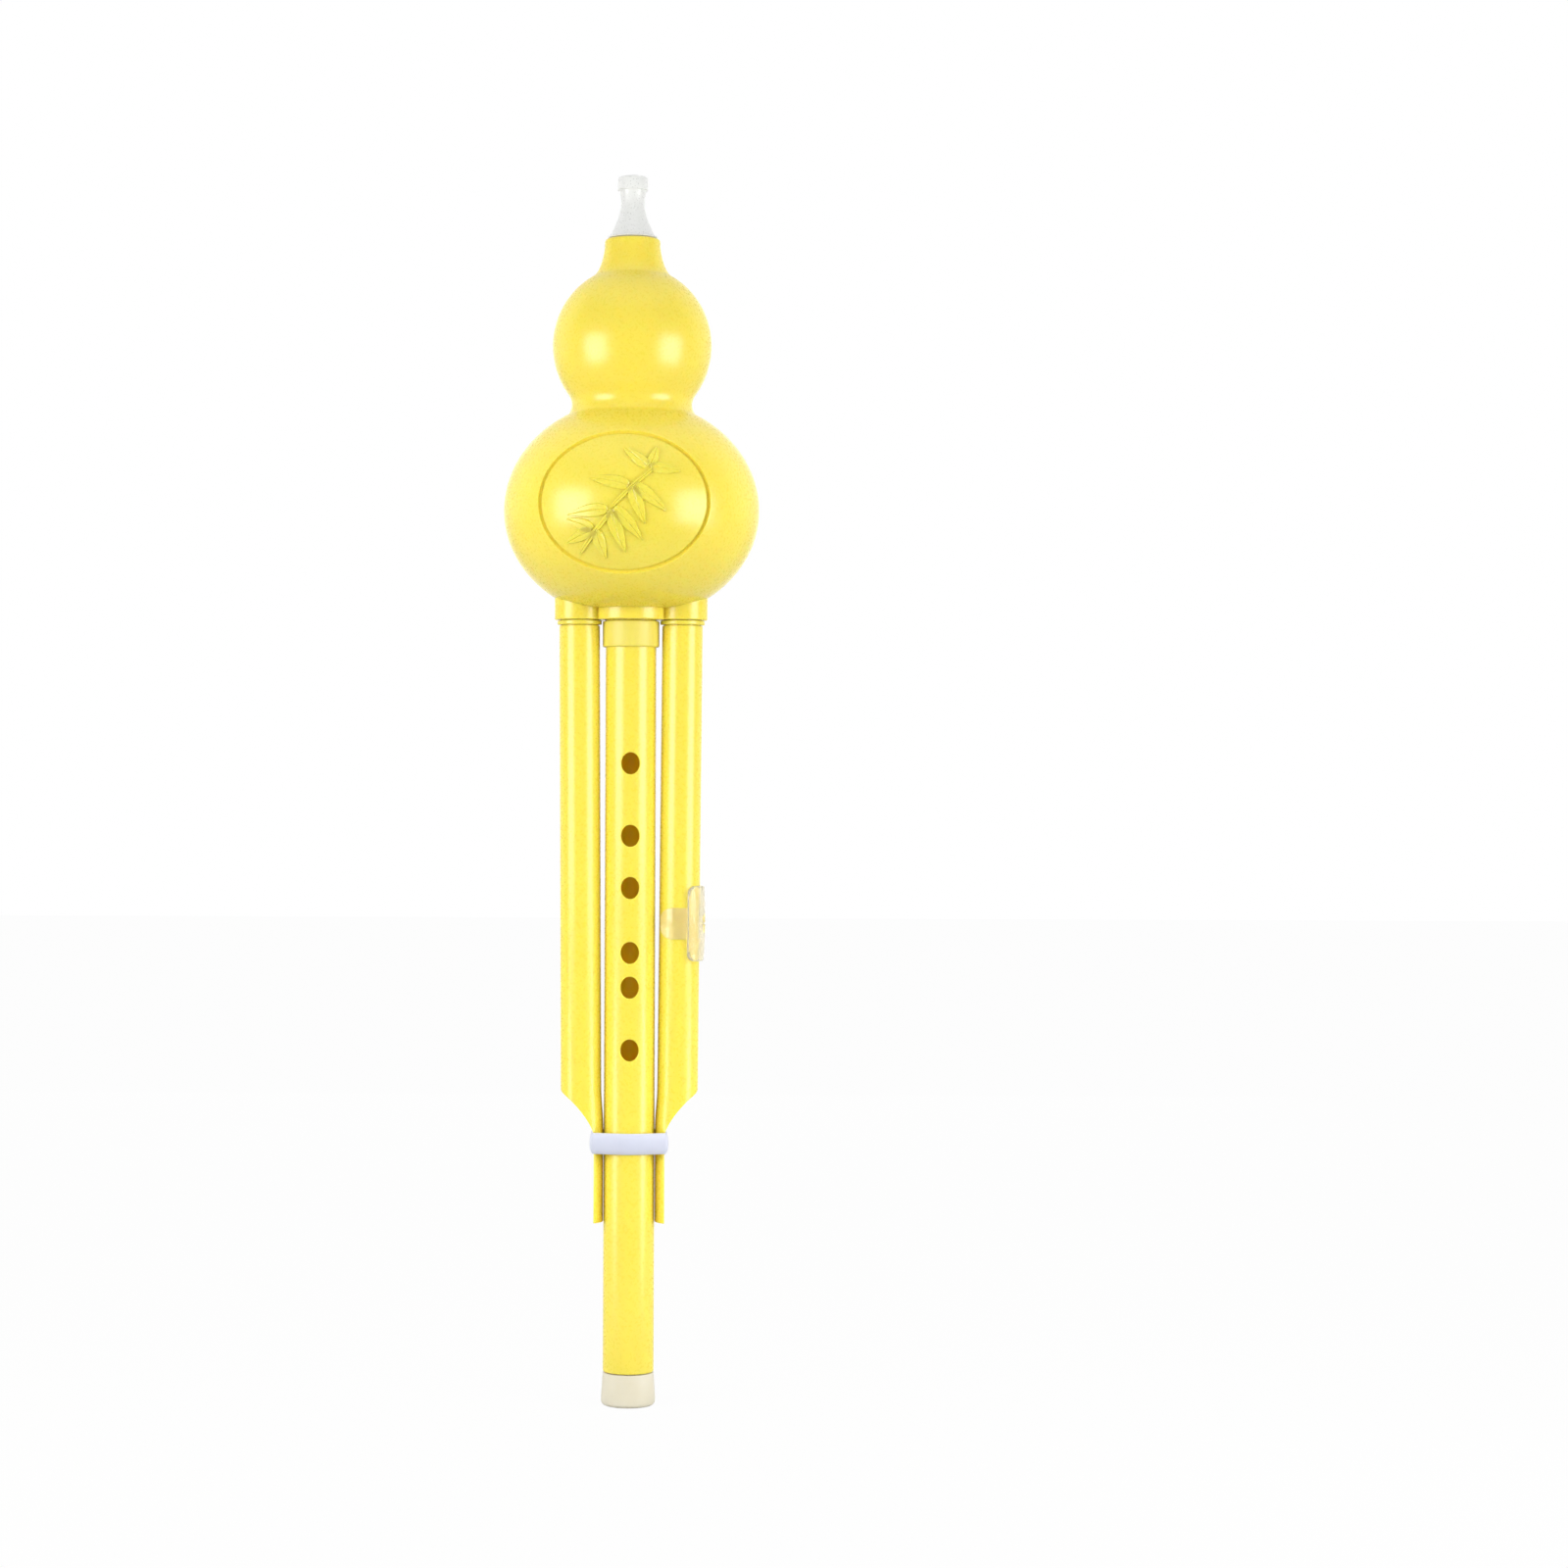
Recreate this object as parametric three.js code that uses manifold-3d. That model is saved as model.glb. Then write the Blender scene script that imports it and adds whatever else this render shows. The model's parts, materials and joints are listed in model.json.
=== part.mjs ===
// A hulusi: a gourd-shaped wind chamber with a mouthpiece, one melody pipe and two drone pipes.
// Millimetres, +Z up, origin under the middle of the end cap, finger holes towards -Y.
import * as THREE from 'three';
import { mergeVertices } from 'three/addons/utils/BufferGeometryUtils.js';
import Module from 'manifold-3d';

const wasm = await Module();
wasm.setup();

// Clearances
const seatGap = 0.3; // between pieces that sit on each other
const slideGap = 0.3; // between a pipe, plug or clip and what it slides or turns on
const sealGap = 0.15; // between a seal ring and the walls of its groove
const overrun = 2; // how far a cutter reaches past what it cuts
const weldDistance = 0.0001; // corners nearer than this are one corner

// Main pipe, its ferrule and the end cap
const mainPipeRadius = 8.7;
const mainPipeWall = 2;
const mainPipeReach = 256.9; // from the pipe's foot to the socket rim
const mainSpigotLength = 19; // the part of the pipe above the socket rim
const ferruleWall = 0.7;
const ferruleHeight = 8.8;
const ferruleDrop = 0.5; // from the socket rim down to the ferrule
const ferruleBevel = 0.4;
const capHeadHeight = 11.2;
const capFlare = 0.55; // how far the cap's foot stands out past the pipe
const capEdgeRound = 1.3;
const capBandHeight = 2.6; // straight band at the foot, where the cap is widest
const capFloor = 2.4;
const capSpigotLength = 10.4;
const capSpigotWall = 1.7;
const capSpigotBevel = 0.5;

// Finger, thumb and vent holes of the main pipe, as shares of its reach below the socket rim
const fingerHoleShares = [0.191, 0.287, 0.356, 0.442, 0.488, 0.571];
const thumbHoleShare = 0.128;
const ventHoleShares = [0.82, 0.866];
const fingerHoleWidth = 6.2;
const fingerHoleHeight = 7.5;
const ventHoleSize = 5;

// Drone pipes
const droneRadius = 6.95;
const droneWall = 1.4;
const droneLength = 205.9; // from the socket rim to the end of the tongue
const droneTilt = THREE.MathUtils.degToRad(0.4); // the drones lean towards the main pipe's foot
const pipeGap = 1.97; // between main pipe and drone at the socket rim
const droneSpigotRadius = 6.2;
const droneSpigotWall = 1.6;
const droneSpigotLength = 17.5;
const droneSpigotFoot = 6; // how far the spigot's thicker wall reaches down into the tube
const collarOut = 0.65; // how far the collar stands out past the tube
const collarHeight = 1.4;
const tongueLength = 31.8;
const sweepHeight = 14.2; // height of the concave cut above the tongue
const tongueInset = 4.55; // from the drone's axis to the tongue's outer face
const sweepControlShares = { across: 0.605, down: 0.47 }; // pull of the concave cut
const soundHoleShare = 0.503; // along the drone
const soundHoleAngle = THREE.MathUtils.degToRad(150); // from the front, round the outer side
const soundHoleSize = 4.4;

// Sockets under the gourd
const mainSocketWall = 3.6;
const droneSocketWall = 2;
const socketDrop = 3.9; // from the gourd's floor to the socket rim
const socketRise = 6; // above the flange
const flangeThickness = 2.4;
const flangeMargin = 2.6; // how far the flange reaches past the sockets

// Gourd
const gourdWall = 2.2;
const lowerBulbRadius = 43.7;
const lowerBulbRise = 33.3; // from the gourd's floor to the widest place of the lower bulb
const lowerBulbBelow = 37.1; // half height of the ellipse under the widest place
const lowerBulbAbove = 38;
const floorRadius = 11; // flat middle of the floor
const bulbSpacing = 56.6; // between the widest places of both bulbs
const upperBulbRadius = 27.2;
const upperBulbBelow = 27.8;
const upperBulbAbove = 27.3;
const waistRadius = 20.6;
const neckRadius = 9.55;
const neckRise = 36.4; // from the upper bulb's widest place to the neck's top
const neckStraight = 2.6; // from the foot of the neck to its top
const neckTopBevel = 1;
const floorBlendShare = 0.62; // radius where the floor leaves the lower ellipse, of its radius
const lowerWaistShare = 0.5; // radius where the waist's hollow starts, of the lower bulb's
const upperWaistShare = 0.798; // and where it ends, of the upper bulb's
const upperNeckShare = 0.483; // radius where the neck's hollow starts, of the upper bulb's
const neckPullShares = { out: 0.262, up: 0.274 };
const floorPullShare = 0.55; // of the way out from the flat floor to the ellipse

// Oval frame line on the front of the lower bulb
const frameHalfWidth = 28.1;
const frameHalfHeight = 23.5;
const frameRise = 1.4; // above the bulb's widest place
const frameTurn = THREE.MathUtils.degToRad(-4.3); // round the gourd, towards the viewer's left
const frameLineRadius = 0.45;

// Mouthpiece
const mouthLength = 21.1; // above the neck
const mouthRimRadius = 5.15;
const mouthRimHeight = 4.6;
const mouthRimStep = 0.55;
const mouthRimRound = 0.6;
const mouthPullRadius = 3.6; // the waist's curve is pulled in towards this radius
const mouthBaseRadius = 8.5;
const mouthBaseHeight = 0.7;
const mouthBaseRound = 0.3;
const mouthBoreRadius = 2.4;
const mouthSpigotRadius = 6.7;
const mouthSpigotWall = 2.3;
const mouthSpigotLength = 9.6;
const mouthSpigotBevel = 0.6;
const mouthCurveShares = [0.25, 0.52]; // heights of the two pull points, down from the rim
const mouthThroatShare = 0.4; // height where the bore starts to widen

// Seal rings
const sealDepth = 1.2; // depth of the groove of a seal on the main pipe or the mouthpiece
const droneSealDepth = 0.9;
const mainSealShares = [0.3, 0.62]; // along the main pipe's spigot
const droneSealShare = 0.5;
const mouthSealShare = 0.5;

// Reed holders and their reed plates
const mainReed = { holderRadius: 7.3, holderLength: 34, plateWidth: 7, plateLength: 26, plugLength: 10 };
const droneReed = { holderRadius: 5.4, holderLength: 26, plateWidth: 5.4, plateLength: 19, plugLength: 8 };
const reedHolderWall = 1.6;
const reedFlatShare = 0.62; // distance of the flat from the axis, of the holder's radius
const reedTipShare = 0.12; // height of the narrowing top, of the holder's length
const reedTipRadiusShare = 0.5; // radius of its end, of the holder's radius
const reedPlateThickness = 0.6;
const reedSlit = 0.35; // gap round the tongue
const reedFrameShares = { side: 0.26, end: 0.14 }; // rim of the plate, of its width and length
const reedTipWidthShare = 0.3; // width of the tongue's tip, of its root
const stopperHeadHeight = 5;
const stopperHeadRadius = 5.6;
const stopperPlugLength = 8;

// Elastic band
const bandWall = 1.3;
const bandHeight = 7.2;
const bandCornerRadius = 0.6;
const bandDrop = 0.8; // from the foot of the concave cut to the band

// Drone clip, angles from the front round the drone's outer side
const clipShare = 0.503; // place of the clip's middle along the drone
const clipWall = 0.6;
const clipHeight = 10.7;
const clipFrontAngle = THREE.MathUtils.degToRad(-60);
const clipBackAngle = THREE.MathUtils.degToRad(180);
const padHeight = 25.7;
const padWall = 1.2; // at its upper and lower end
const padCrown = 0.5; // how much thicker the pad is in its middle
const padHalfWidth = 7.9;
const padCornerRadius = 2;
const padCrownShare = 0.33; // height of the thick middle, of the pad's height

// Numbers of sides and steps
const gourdSides = 40;
const pipeSides = 32;
const smallSides = 24;
const sealSides = 20;
const outlineSteps = 6;
const chamberSteps = 3;
const neckSteps = 4;
const edgeSteps = 3;
const holeSteps = 9;
const sweepSteps = 8;
const frameSteps = 24;
const frameLineSteps = 3; // per half turn of the line's section
const clipSteps = 16;
const padSteps = 2;
const bandSteps = 3;
const sealSectionSides = 6;
const soundHoleSides = 12;

// Places that follow from the sizes
const pipeFoot = capHeadHeight + seatGap;
const socketRim = pipeFoot + mainPipeReach;
const mainPipeTop = socketRim + mainSpigotLength;
const mainPipeBore = mainPipeRadius - mainPipeWall;
const mainSocketBore = mainPipeRadius + slideGap;
const mainSocketRadius = mainSocketBore + mainSocketWall;
const droneBore = droneRadius - droneWall;
const droneSocketBore = droneSpigotRadius + slideGap;
const droneSocketRadius = droneSocketBore + droneSocketWall;
const droneSpacing = mainPipeRadius + pipeGap + droneRadius;
const gourdFloor = socketRim + socketDrop;
const lowerBulbHeight = gourdFloor + lowerBulbRise;
const upperBulbHeight = lowerBulbHeight + bulbSpacing;
const neckTop = upperBulbHeight + neckRise;
const neckBore = mouthSpigotRadius + slideGap;
const mouthFoot = neckTop + seatGap;
const flangeTop = gourdFloor + gourdWall + seatGap + flangeThickness;
const socketTop = flangeTop + socketRise;
const droneShoulder = -(collarHeight + 2 * seatGap); // in the drone's own frame
const sweepFoot = tongueLength - droneLength;
const sweepTop = sweepFoot + sweepHeight;

// Materials
function finish(colour, roughness, metalness) {
  return new THREE.MeshStandardMaterial({ color: colour, roughness, metalness });
}

const yellowPlastic = () => finish(0xfae656, 0.32, 0);
const ferrulePlastic = () => finish(0xfaeb75, 0.45, 0);
const frostedPlastic = () => finish(0xe6e8e5, 0.4, 0);
const creamPlastic = () => finish(0xeae3c9, 0.45, 0);
const clearPlastic = () => finish(0xfbf2b9, 0.25, 0);
const elasticSilicone = () => finish(0xdde0ed, 0.55, 0);
const sealRubber = () => finish(0xd9d4c6, 0.7, 0);
const reedBrass = () => finish(0xc9a24a, 0.3, 1);
const holderPlastic = () => finish(0xf2efe4, 0.5, 0);

// Solids
function solid(geometry) {
  geometry.deleteAttribute('normal');
  geometry.deleteAttribute('uv');
  const welded = mergeVertices(geometry, weldDistance);
  const corners = welded.index.array;
  const triangles = [];
  for (let i = 0; i < corners.length; i += 3) {
    const [a, b, c] = corners.slice(i, i + 3);
    if (a !== b && b !== c && c !== a) {
      triangles.push(a, b, c);
    }
  }
  return new wasm.Manifold(new wasm.Mesh({
    numProp: 3,
    vertProperties: new Float32Array(welded.attributes.position.array),
    triVerts: new Uint32Array(triangles),
  }));
}

function join(first, ...others) {
  return others.reduce((sum, other) => sum.add(other), first);
}

function cut(first, ...tools) {
  return tools.reduce((rest, tool) => rest.subtract(tool), first);
}

function piece(name, shape, material) {
  const { vertProperties, triVerts } = shape.getMesh();
  const geometry = new THREE.BufferGeometry();
  geometry.setAttribute('position', new THREE.BufferAttribute(vertProperties, 3));
  geometry.setIndex(new THREE.BufferAttribute(triVerts, 1));
  geometry.computeVertexNormals();
  const mesh = new THREE.Mesh(geometry, material);
  mesh.name = name;
  return mesh;
}

function at(radius, height) {
  return new THREE.Vector2(radius, height);
}

// Points of outlines, from one angle or place to another
function ellipseArc(middle, radius, halfHeight, from, to, steps) {
  const points = [];
  for (let i = 0; i <= steps; i += 1) {
    const angle = from + (to - from) * i / steps;
    points.push(at(middle.x + radius * Math.cos(angle), middle.y + halfHeight * Math.sin(angle)));
  }
  return points;
}

function bend(start, pull, end, steps) {
  return new THREE.QuadraticBezierCurve(start, pull, end).getPoints(steps);
}

function last(points) {
  return points[points.length - 1];
}

// A profile of radius and height, turned round the Z axis
function turned(profile, sides) {
  return new THREE.LatheGeometry(profile, sides).rotateX(Math.PI / 2);
}

function rod(radius, low, high, sides) {
  return turned([at(0, low), at(radius, low), at(radius, high), at(0, high)], sides);
}

function sleeve(inner, outer, low, high, sides) {
  const profile = [at(inner, low), at(outer, low), at(outer, high), at(inner, high), at(inner, low)];
  return turned(profile, sides);
}

function slab(width, depth, low, high) {
  const height = high - low;
  return new THREE.BoxGeometry(width, depth, height).translate(0, 0, low + height / 2);
}

// A shape drawn in X and Z, made solid from its near side at Y = near to its far side at Y = far
function pressedForward(shape, near, far, steps = 1) {
  const depth = far - near;
  const settings = { depth, bevelEnabled: false, curveSegments: steps };
  return new THREE.ExtrudeGeometry(shape, settings).rotateX(Math.PI / 2).translate(0, far, 0);
}

function raised(shape, low, high) {
  const settings = { depth: high - low, bevelEnabled: false };
  return new THREE.ExtrudeGeometry(shape, settings).translate(0, 0, low);
}

// The frame of a drone has its origin in the middle of its socket's rim; side is -1 or 1
function inDroneFrame(geometry, side) {
  return geometry.rotateY(side * droneTilt).translate(side * droneSpacing, 0, socketRim);
}

function droneGroup(side) {
  const group = new THREE.Group();
  group.position.set(side * droneSpacing, 0, socketRim);
  group.rotation.y = side * droneTilt;
  return group;
}

// Gourd: outline, shells and frame line
function bulbOutline(steps) {
  const floorAngle = -Math.acos(floorBlendShare);
  const lowerAngle = Math.acos(lowerWaistShare);
  const upperAngle = -Math.acos(upperWaistShare);
  const neckAngle = Math.acos(upperNeckShare);
  const lower = at(0, lowerBulbHeight);
  const upper = at(0, upperBulbHeight);
  const under = ellipseArc(lower, lowerBulbRadius, lowerBulbBelow, floorAngle, 0, steps);
  const over = ellipseArc(lower, lowerBulbRadius, lowerBulbAbove, 0, lowerAngle, steps);
  const belly = ellipseArc(upper, upperBulbRadius, upperBulbBelow, upperAngle, 0, steps);
  const crown = ellipseArc(upper, upperBulbRadius, upperBulbAbove, 0, neckAngle, steps);
  const flat = at(floorRadius, gourdFloor);
  const rim = under[0];
  const floorPull = at(floorRadius + (rim.x - floorRadius) * floorPullShare, gourdFloor);
  const hollowStart = last(over);
  const hollowEnd = belly[0];
  const hollowRadius = 2 * waistRadius - (hollowStart.x + hollowEnd.x) / 2;
  const waistPull = at(hollowRadius, (hollowStart.y + hollowEnd.y) / 2);
  return [
    at(0, gourdFloor),
    ...bend(flat, floorPull, rim, steps).slice(0, -1),
    ...under.slice(0, -1),
    ...over.slice(0, -1),
    ...bend(hollowStart, waistPull, hollowEnd, steps).slice(0, -1),
    ...belly.slice(0, -1),
    ...crown,
  ];
}

function neckOutline(start) {
  const foot = at(neckRadius, neckTop - neckStraight);
  const pullRadius = neckRadius + (start.x - neckRadius) * neckPullShares.out;
  const pull = at(pullRadius, start.y + (foot.y - start.y) * neckPullShares.up);
  return [
    ...bend(start, pull, foot, neckSteps).slice(1),
    at(neckRadius, neckTop - neckTopBevel),
    at(neckRadius - neckTopBevel, neckTop),
  ];
}

function inset(points, distance) {
  return points.map((point, i) => {
    const before = points[Math.max(i - 1, 0)];
    const after = points[Math.min(i + 1, points.length - 1)];
    const run = after.clone().sub(before).normalize();
    return at(point.x - run.y * distance, point.y + run.x * distance);
  });
}

function chamber(distance) {
  const wall = inset(bulbOutline(chamberSteps), distance);
  wall[0].x = 0;
  return wall;
}

function gourdShell() {
  const bulbs = bulbOutline(outlineSteps);
  const inner = chamber(gourdWall);
  const shoulder = last(bulbs);
  const neck = [...neckOutline(shoulder), at(neckBore, neckTop), at(neckBore, shoulder.y)];
  const profile = [...bulbs, ...neck, ...inner.reverse()];
  return solid(turned(profile, gourdSides));
}

function socketRods(outset, low, high) {
  const drones = [-1, 1].map((side) => {
    const shape = rod(droneSocketRadius + outset, low - socketRim, high - socketRim, pipeSides);
    return solid(inDroneFrame(shape, side));
  });
  return join(solid(rod(mainSocketRadius + outset, low, high, pipeSides)), ...drones);
}

function lowerBulbRadiusAt(height) {
  const halfHeight = height > lowerBulbHeight ? lowerBulbAbove : lowerBulbBelow;
  const share = (height - lowerBulbHeight) / halfHeight;
  return lowerBulbRadius * Math.sqrt(1 - share * share);
}

// Half of the frame line, from one angle of the oval to another, as a thin rod on the bulb
function frameLine(from, to) {
  const points = [];
  for (let i = 0; i <= frameSteps; i += 1) {
    const angle = from + (to - from) * i / frameSteps;
    const across = frameHalfWidth * Math.cos(angle);
    const height = lowerBulbHeight + frameRise + frameHalfHeight * Math.sin(angle);
    const depth = Math.sqrt(lowerBulbRadiusAt(height) ** 2 - across ** 2);
    points.push(new THREE.Vector3(across, -depth, height));
  }
  const section = new THREE.Shape().absarc(0, 0, frameLineRadius, 0, 2 * Math.PI);
  const settings = {
    steps: frameSteps,
    bevelEnabled: false,
    curveSegments: frameLineSteps,
    extrudePath: new THREE.CatmullRomCurve3(points),
  };
  return solid(new THREE.ExtrudeGeometry(section, settings).rotateZ(frameTurn));
}

function gourdHalves() {
  const holes = socketRods(seatGap, socketRim - overrun, socketTop);
  const shell = cut(gourdShell(), holes);
  const reach = 2 * lowerBulbRadius + overrun;
  const frontBox = solid(slab(reach, reach, 0, neckTop + overrun).translate(0, -reach / 2, 0));
  const lap = Math.PI / gourdSides;
  const lines = [frameLine(-lap, Math.PI + lap), frameLine(Math.PI - lap, 2 * Math.PI + lap)];
  return {
    front: cut(shell.intersect(frontBox), ...lines),
    back: cut(shell, frontBox),
  };
}

function socketBlock() {
  const flangeHalfWidth = droneSpacing + droneSocketRadius + flangeMargin;
  const flangeHalfDepth = mainSocketRadius + flangeMargin;
  const room = solid(turned([...chamber(gourdWall + seatGap), at(0, upperBulbHeight)], gourdSides));
  const low = gourdFloor + gourdWall;
  const flange = solid(slab(2 * flangeHalfWidth, 2 * flangeHalfDepth, low, flangeTop)).intersect(room);
  const from = socketRim - overrun;
  const to = socketTop + overrun;
  const droneBores = [-1, 1].map((side) => {
    const shape = rod(droneSocketBore, from - socketRim, to - socketRim, pipeSides);
    return solid(inDroneFrame(shape, side));
  });
  const levelEnds = solid(slab(2 * lowerBulbRadius, 2 * lowerBulbRadius, socketRim, socketTop));
  const rods = socketRods(0, from, to).intersect(levelEnds);
  return cut(join(rods, flange), solid(rod(mainSocketBore, from, to, pipeSides)), ...droneBores);
}

// Seal rings and their grooves
function sealRadius(bore, pipeRadius, depth) {
  return (bore - (pipeRadius - depth)) / 2 - sealGap;
}

function sealRing(bore, pipeRadius, depth, height) {
  const section = sealRadius(bore, pipeRadius, depth);
  const middle = bore - sealGap - section;
  return solid(new THREE.TorusGeometry(middle, section, sealSectionSides, sealSides).translate(0, 0, height));
}

function grooveOutline(bore, pipeRadius, depth, height) {
  const half = sealRadius(bore, pipeRadius, depth) + sealGap;
  return [
    at(pipeRadius, height - half),
    at(pipeRadius - depth, height - half),
    at(pipeRadius - depth, height + half),
    at(pipeRadius, height + half),
  ];
}

// Main pipe
function mainSealHeights() {
  return mainSealShares.map((share) => socketRim + mainSpigotLength * share);
}

function pipeHole(width, height, share, near, far) {
  const shape = new THREE.Shape();
  shape.absellipse(0, socketRim - mainPipeReach * share, width / 2, height / 2, 0, 2 * Math.PI);
  return solid(pressedForward(shape, near, far, holeSteps));
}

function mainPipe() {
  const grooves = mainSealHeights().flatMap((height) => (
    grooveOutline(mainSocketBore, mainPipeRadius, sealDepth, height)
  ));
  const profile = [
    at(mainPipeBore, pipeFoot),
    at(mainPipeRadius, pipeFoot),
    ...grooves,
    at(mainPipeRadius, mainPipeTop),
    at(mainPipeBore, mainPipeTop),
    at(mainPipeBore, pipeFoot),
  ];
  const out = mainPipeRadius + overrun;
  const fingerHoles = fingerHoleShares.map((share) => (
    pipeHole(fingerHoleWidth, fingerHoleHeight, share, -out, 0)
  ));
  const thumbHole = pipeHole(fingerHoleWidth, fingerHoleHeight, thumbHoleShare, 0, out);
  const ventHoles = ventHoleShares.map((share) => pipeHole(ventHoleSize, ventHoleSize, share, 0, out));
  return cut(solid(turned(profile, pipeSides)), ...fingerHoles, thumbHole, ...ventHoles);
}

function mainFerrule() {
  const inner = mainPipeRadius + seatGap;
  const outer = inner + ferruleWall;
  const high = socketRim - ferruleDrop;
  const low = high - ferruleHeight;
  const profile = [
    at(inner, low),
    at(outer - ferruleBevel, low),
    at(outer, low + ferruleBevel),
    at(outer, high),
    at(inner, high),
    at(inner, low),
  ];
  return solid(turned(profile, pipeSides));
}

function endCap() {
  const foot = mainPipeRadius + capFlare;
  const edge = capEdgeRound;
  const spigot = mainPipeBore - slideGap;
  const spigotBore = spigot - capSpigotWall;
  const top = capHeadHeight + capSpigotLength;
  const profile = [
    at(0, 0),
    ...ellipseArc(at(foot - edge, edge), edge, edge, -Math.PI / 2, 0, edgeSteps),
    at(foot, capBandHeight),
    at(mainPipeRadius, capHeadHeight),
    at(spigot, capHeadHeight),
    at(spigot, top - capSpigotBevel),
    at(spigot - capSpigotBevel, top),
    at(spigotBore, top),
    at(spigotBore, capFloor),
    at(0, capFloor),
  ];
  return solid(turned(profile, pipeSides));
}

// Reeds
function reedHolder(reed, seat, bore) {
  const low = seat - reed.plugLength;
  const foot = seat + seatGap;
  const high = foot + reed.holderLength;
  const tip = reed.holderLength * reedTipShare;
  const channel = bore - seatGap - reedHolderWall;
  const profile = [
    at(channel, low),
    at(bore - seatGap, low),
    at(bore - seatGap, foot),
    at(reed.holderRadius, foot),
    at(reed.holderRadius, high - tip),
    at(reed.holderRadius * reedTipRadiusShare, high),
    at(0, high),
    at(0, high - tip),
    at(channel, high - tip),
    at(channel, low),
  ];
  const flat = reed.holderRadius * reedFlatShare;
  const plateLow = foot + tip;
  const plateHigh = plateLow + reed.plateLength;
  const width = 2 * reed.holderRadius + overrun;
  const front = slab(width, width, plateLow - seatGap, plateHigh + seatGap);
  front.translate(0, -flat - width / 2, 0);
  const rim = reed.plateLength * reedFrameShares.end;
  const windowWidth = reed.plateWidth * (1 - 2 * reedFrameShares.side);
  const window = slab(windowWidth, width, plateLow + rim, plateHigh - rim);
  window.translate(0, -width / 2, 0);
  return cut(solid(turned(profile, smallSides)), solid(front), solid(window));
}

// The plate has a slit on both sides and the tip of its tapering tongue
function reedPlate(reed, seat) {
  const low = seat + seatGap + reed.holderLength * reedTipShare;
  const high = low + reed.plateLength;
  const half = reed.plateWidth / 2;
  const root = half * (1 - 2 * reedFrameShares.side) - reedSlit;
  const tip = root * reedTipWidthShare;
  const rim = reed.plateLength * reedFrameShares.end;
  const plate = new THREE.Shape([at(-half, low), at(half, low), at(half, high), at(-half, high)]);
  plate.holes.push(new THREE.Path([
    at(-root - reedSlit, low + rim),
    at(-root, low + rim),
    at(-tip, high - rim - reedSlit),
    at(tip, high - rim - reedSlit),
    at(root, low + rim),
    at(root + reedSlit, low + rim),
    at(tip + reedSlit, high - rim),
    at(-tip - reedSlit, high - rim),
  ]));
  const back = -reed.holderRadius * reedFlatShare - seatGap;
  return solid(pressedForward(plate, back - reedPlateThickness, back));
}

// Drones, drawn in their own frame with the axis on Z and the socket rim at zero
function droneSweep(side) {
  const out = droneRadius + overrun;
  const foot = -droneLength - overrun;
  const drop = sweepTop - sweepFoot;
  const pull = new THREE.Vector2(
    side * (droneRadius - (droneRadius + tongueInset) * sweepControlShares.across),
    sweepTop - drop * sweepControlShares.down,
  );
  const shape = new THREE.Shape();
  shape.moveTo(side * out, sweepTop);
  shape.lineTo(side * droneRadius, sweepTop);
  shape.quadraticCurveTo(pull.x, pull.y, -side * tongueInset, sweepFoot);
  shape.lineTo(-side * tongueInset, foot);
  shape.lineTo(side * out, foot);
  return solid(pressedForward(shape, -out, out, sweepSteps));
}

function dronePipe(side) {
  const groove = grooveOutline(
    droneSocketBore,
    droneSpigotRadius,
    droneSealDepth,
    droneSpigotLength * droneSealShare,
  );
  const spigotBore = droneSpigotRadius - droneSpigotWall;
  const profile = [
    at(droneBore, -droneLength),
    at(droneRadius, -droneLength),
    at(droneRadius, droneShoulder),
    at(droneSpigotRadius, droneShoulder),
    ...groove,
    at(droneSpigotRadius, droneSpigotLength),
    at(spigotBore, droneSpigotLength),
    at(spigotBore, droneShoulder - droneSpigotFoot),
    at(droneBore, droneShoulder - droneSpigotFoot),
    at(droneBore, -droneLength),
  ];
  return cut(solid(turned(profile, pipeSides)), droneSweep(side));
}

function droneCollar() {
  const inner = droneSpigotRadius + seatGap;
  const low = droneShoulder + seatGap;
  return solid(sleeve(inner, droneRadius + collarOut, low, low + collarHeight, pipeSides));
}

function droneStopper() {
  const plug = droneSpigotRadius - droneSpigotWall - seatGap;
  const seat = droneSpigotLength + seatGap;
  const profile = [
    at(0, seat - stopperPlugLength),
    at(plug, seat - stopperPlugLength),
    at(plug, seat),
    at(stopperHeadRadius, seat),
    at(stopperHeadRadius, seat + stopperHeadHeight),
    at(0, seat + stopperHeadHeight),
  ];
  return solid(turned(profile, smallSides));
}

function soundHole(side) {
  const shape = rod(soundHoleSize / 2, 0, droneRadius + overrun, soundHoleSides);
  const level = shape.rotateX(Math.PI / 2).rotateZ(side * soundHoleAngle);
  return solid(level.translate(0, 0, -droneLength * soundHoleShare));
}

// Clip round the right drone
function sector(from, to, reach, steps) {
  const points = [at(0, 0)];
  for (let i = 0; i <= steps; i += 1) {
    const angle = from + (to - from) * i / steps;
    points.push(at(reach * Math.sin(angle), -reach * Math.cos(angle)));
  }
  return new THREE.Shape(points);
}

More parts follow.
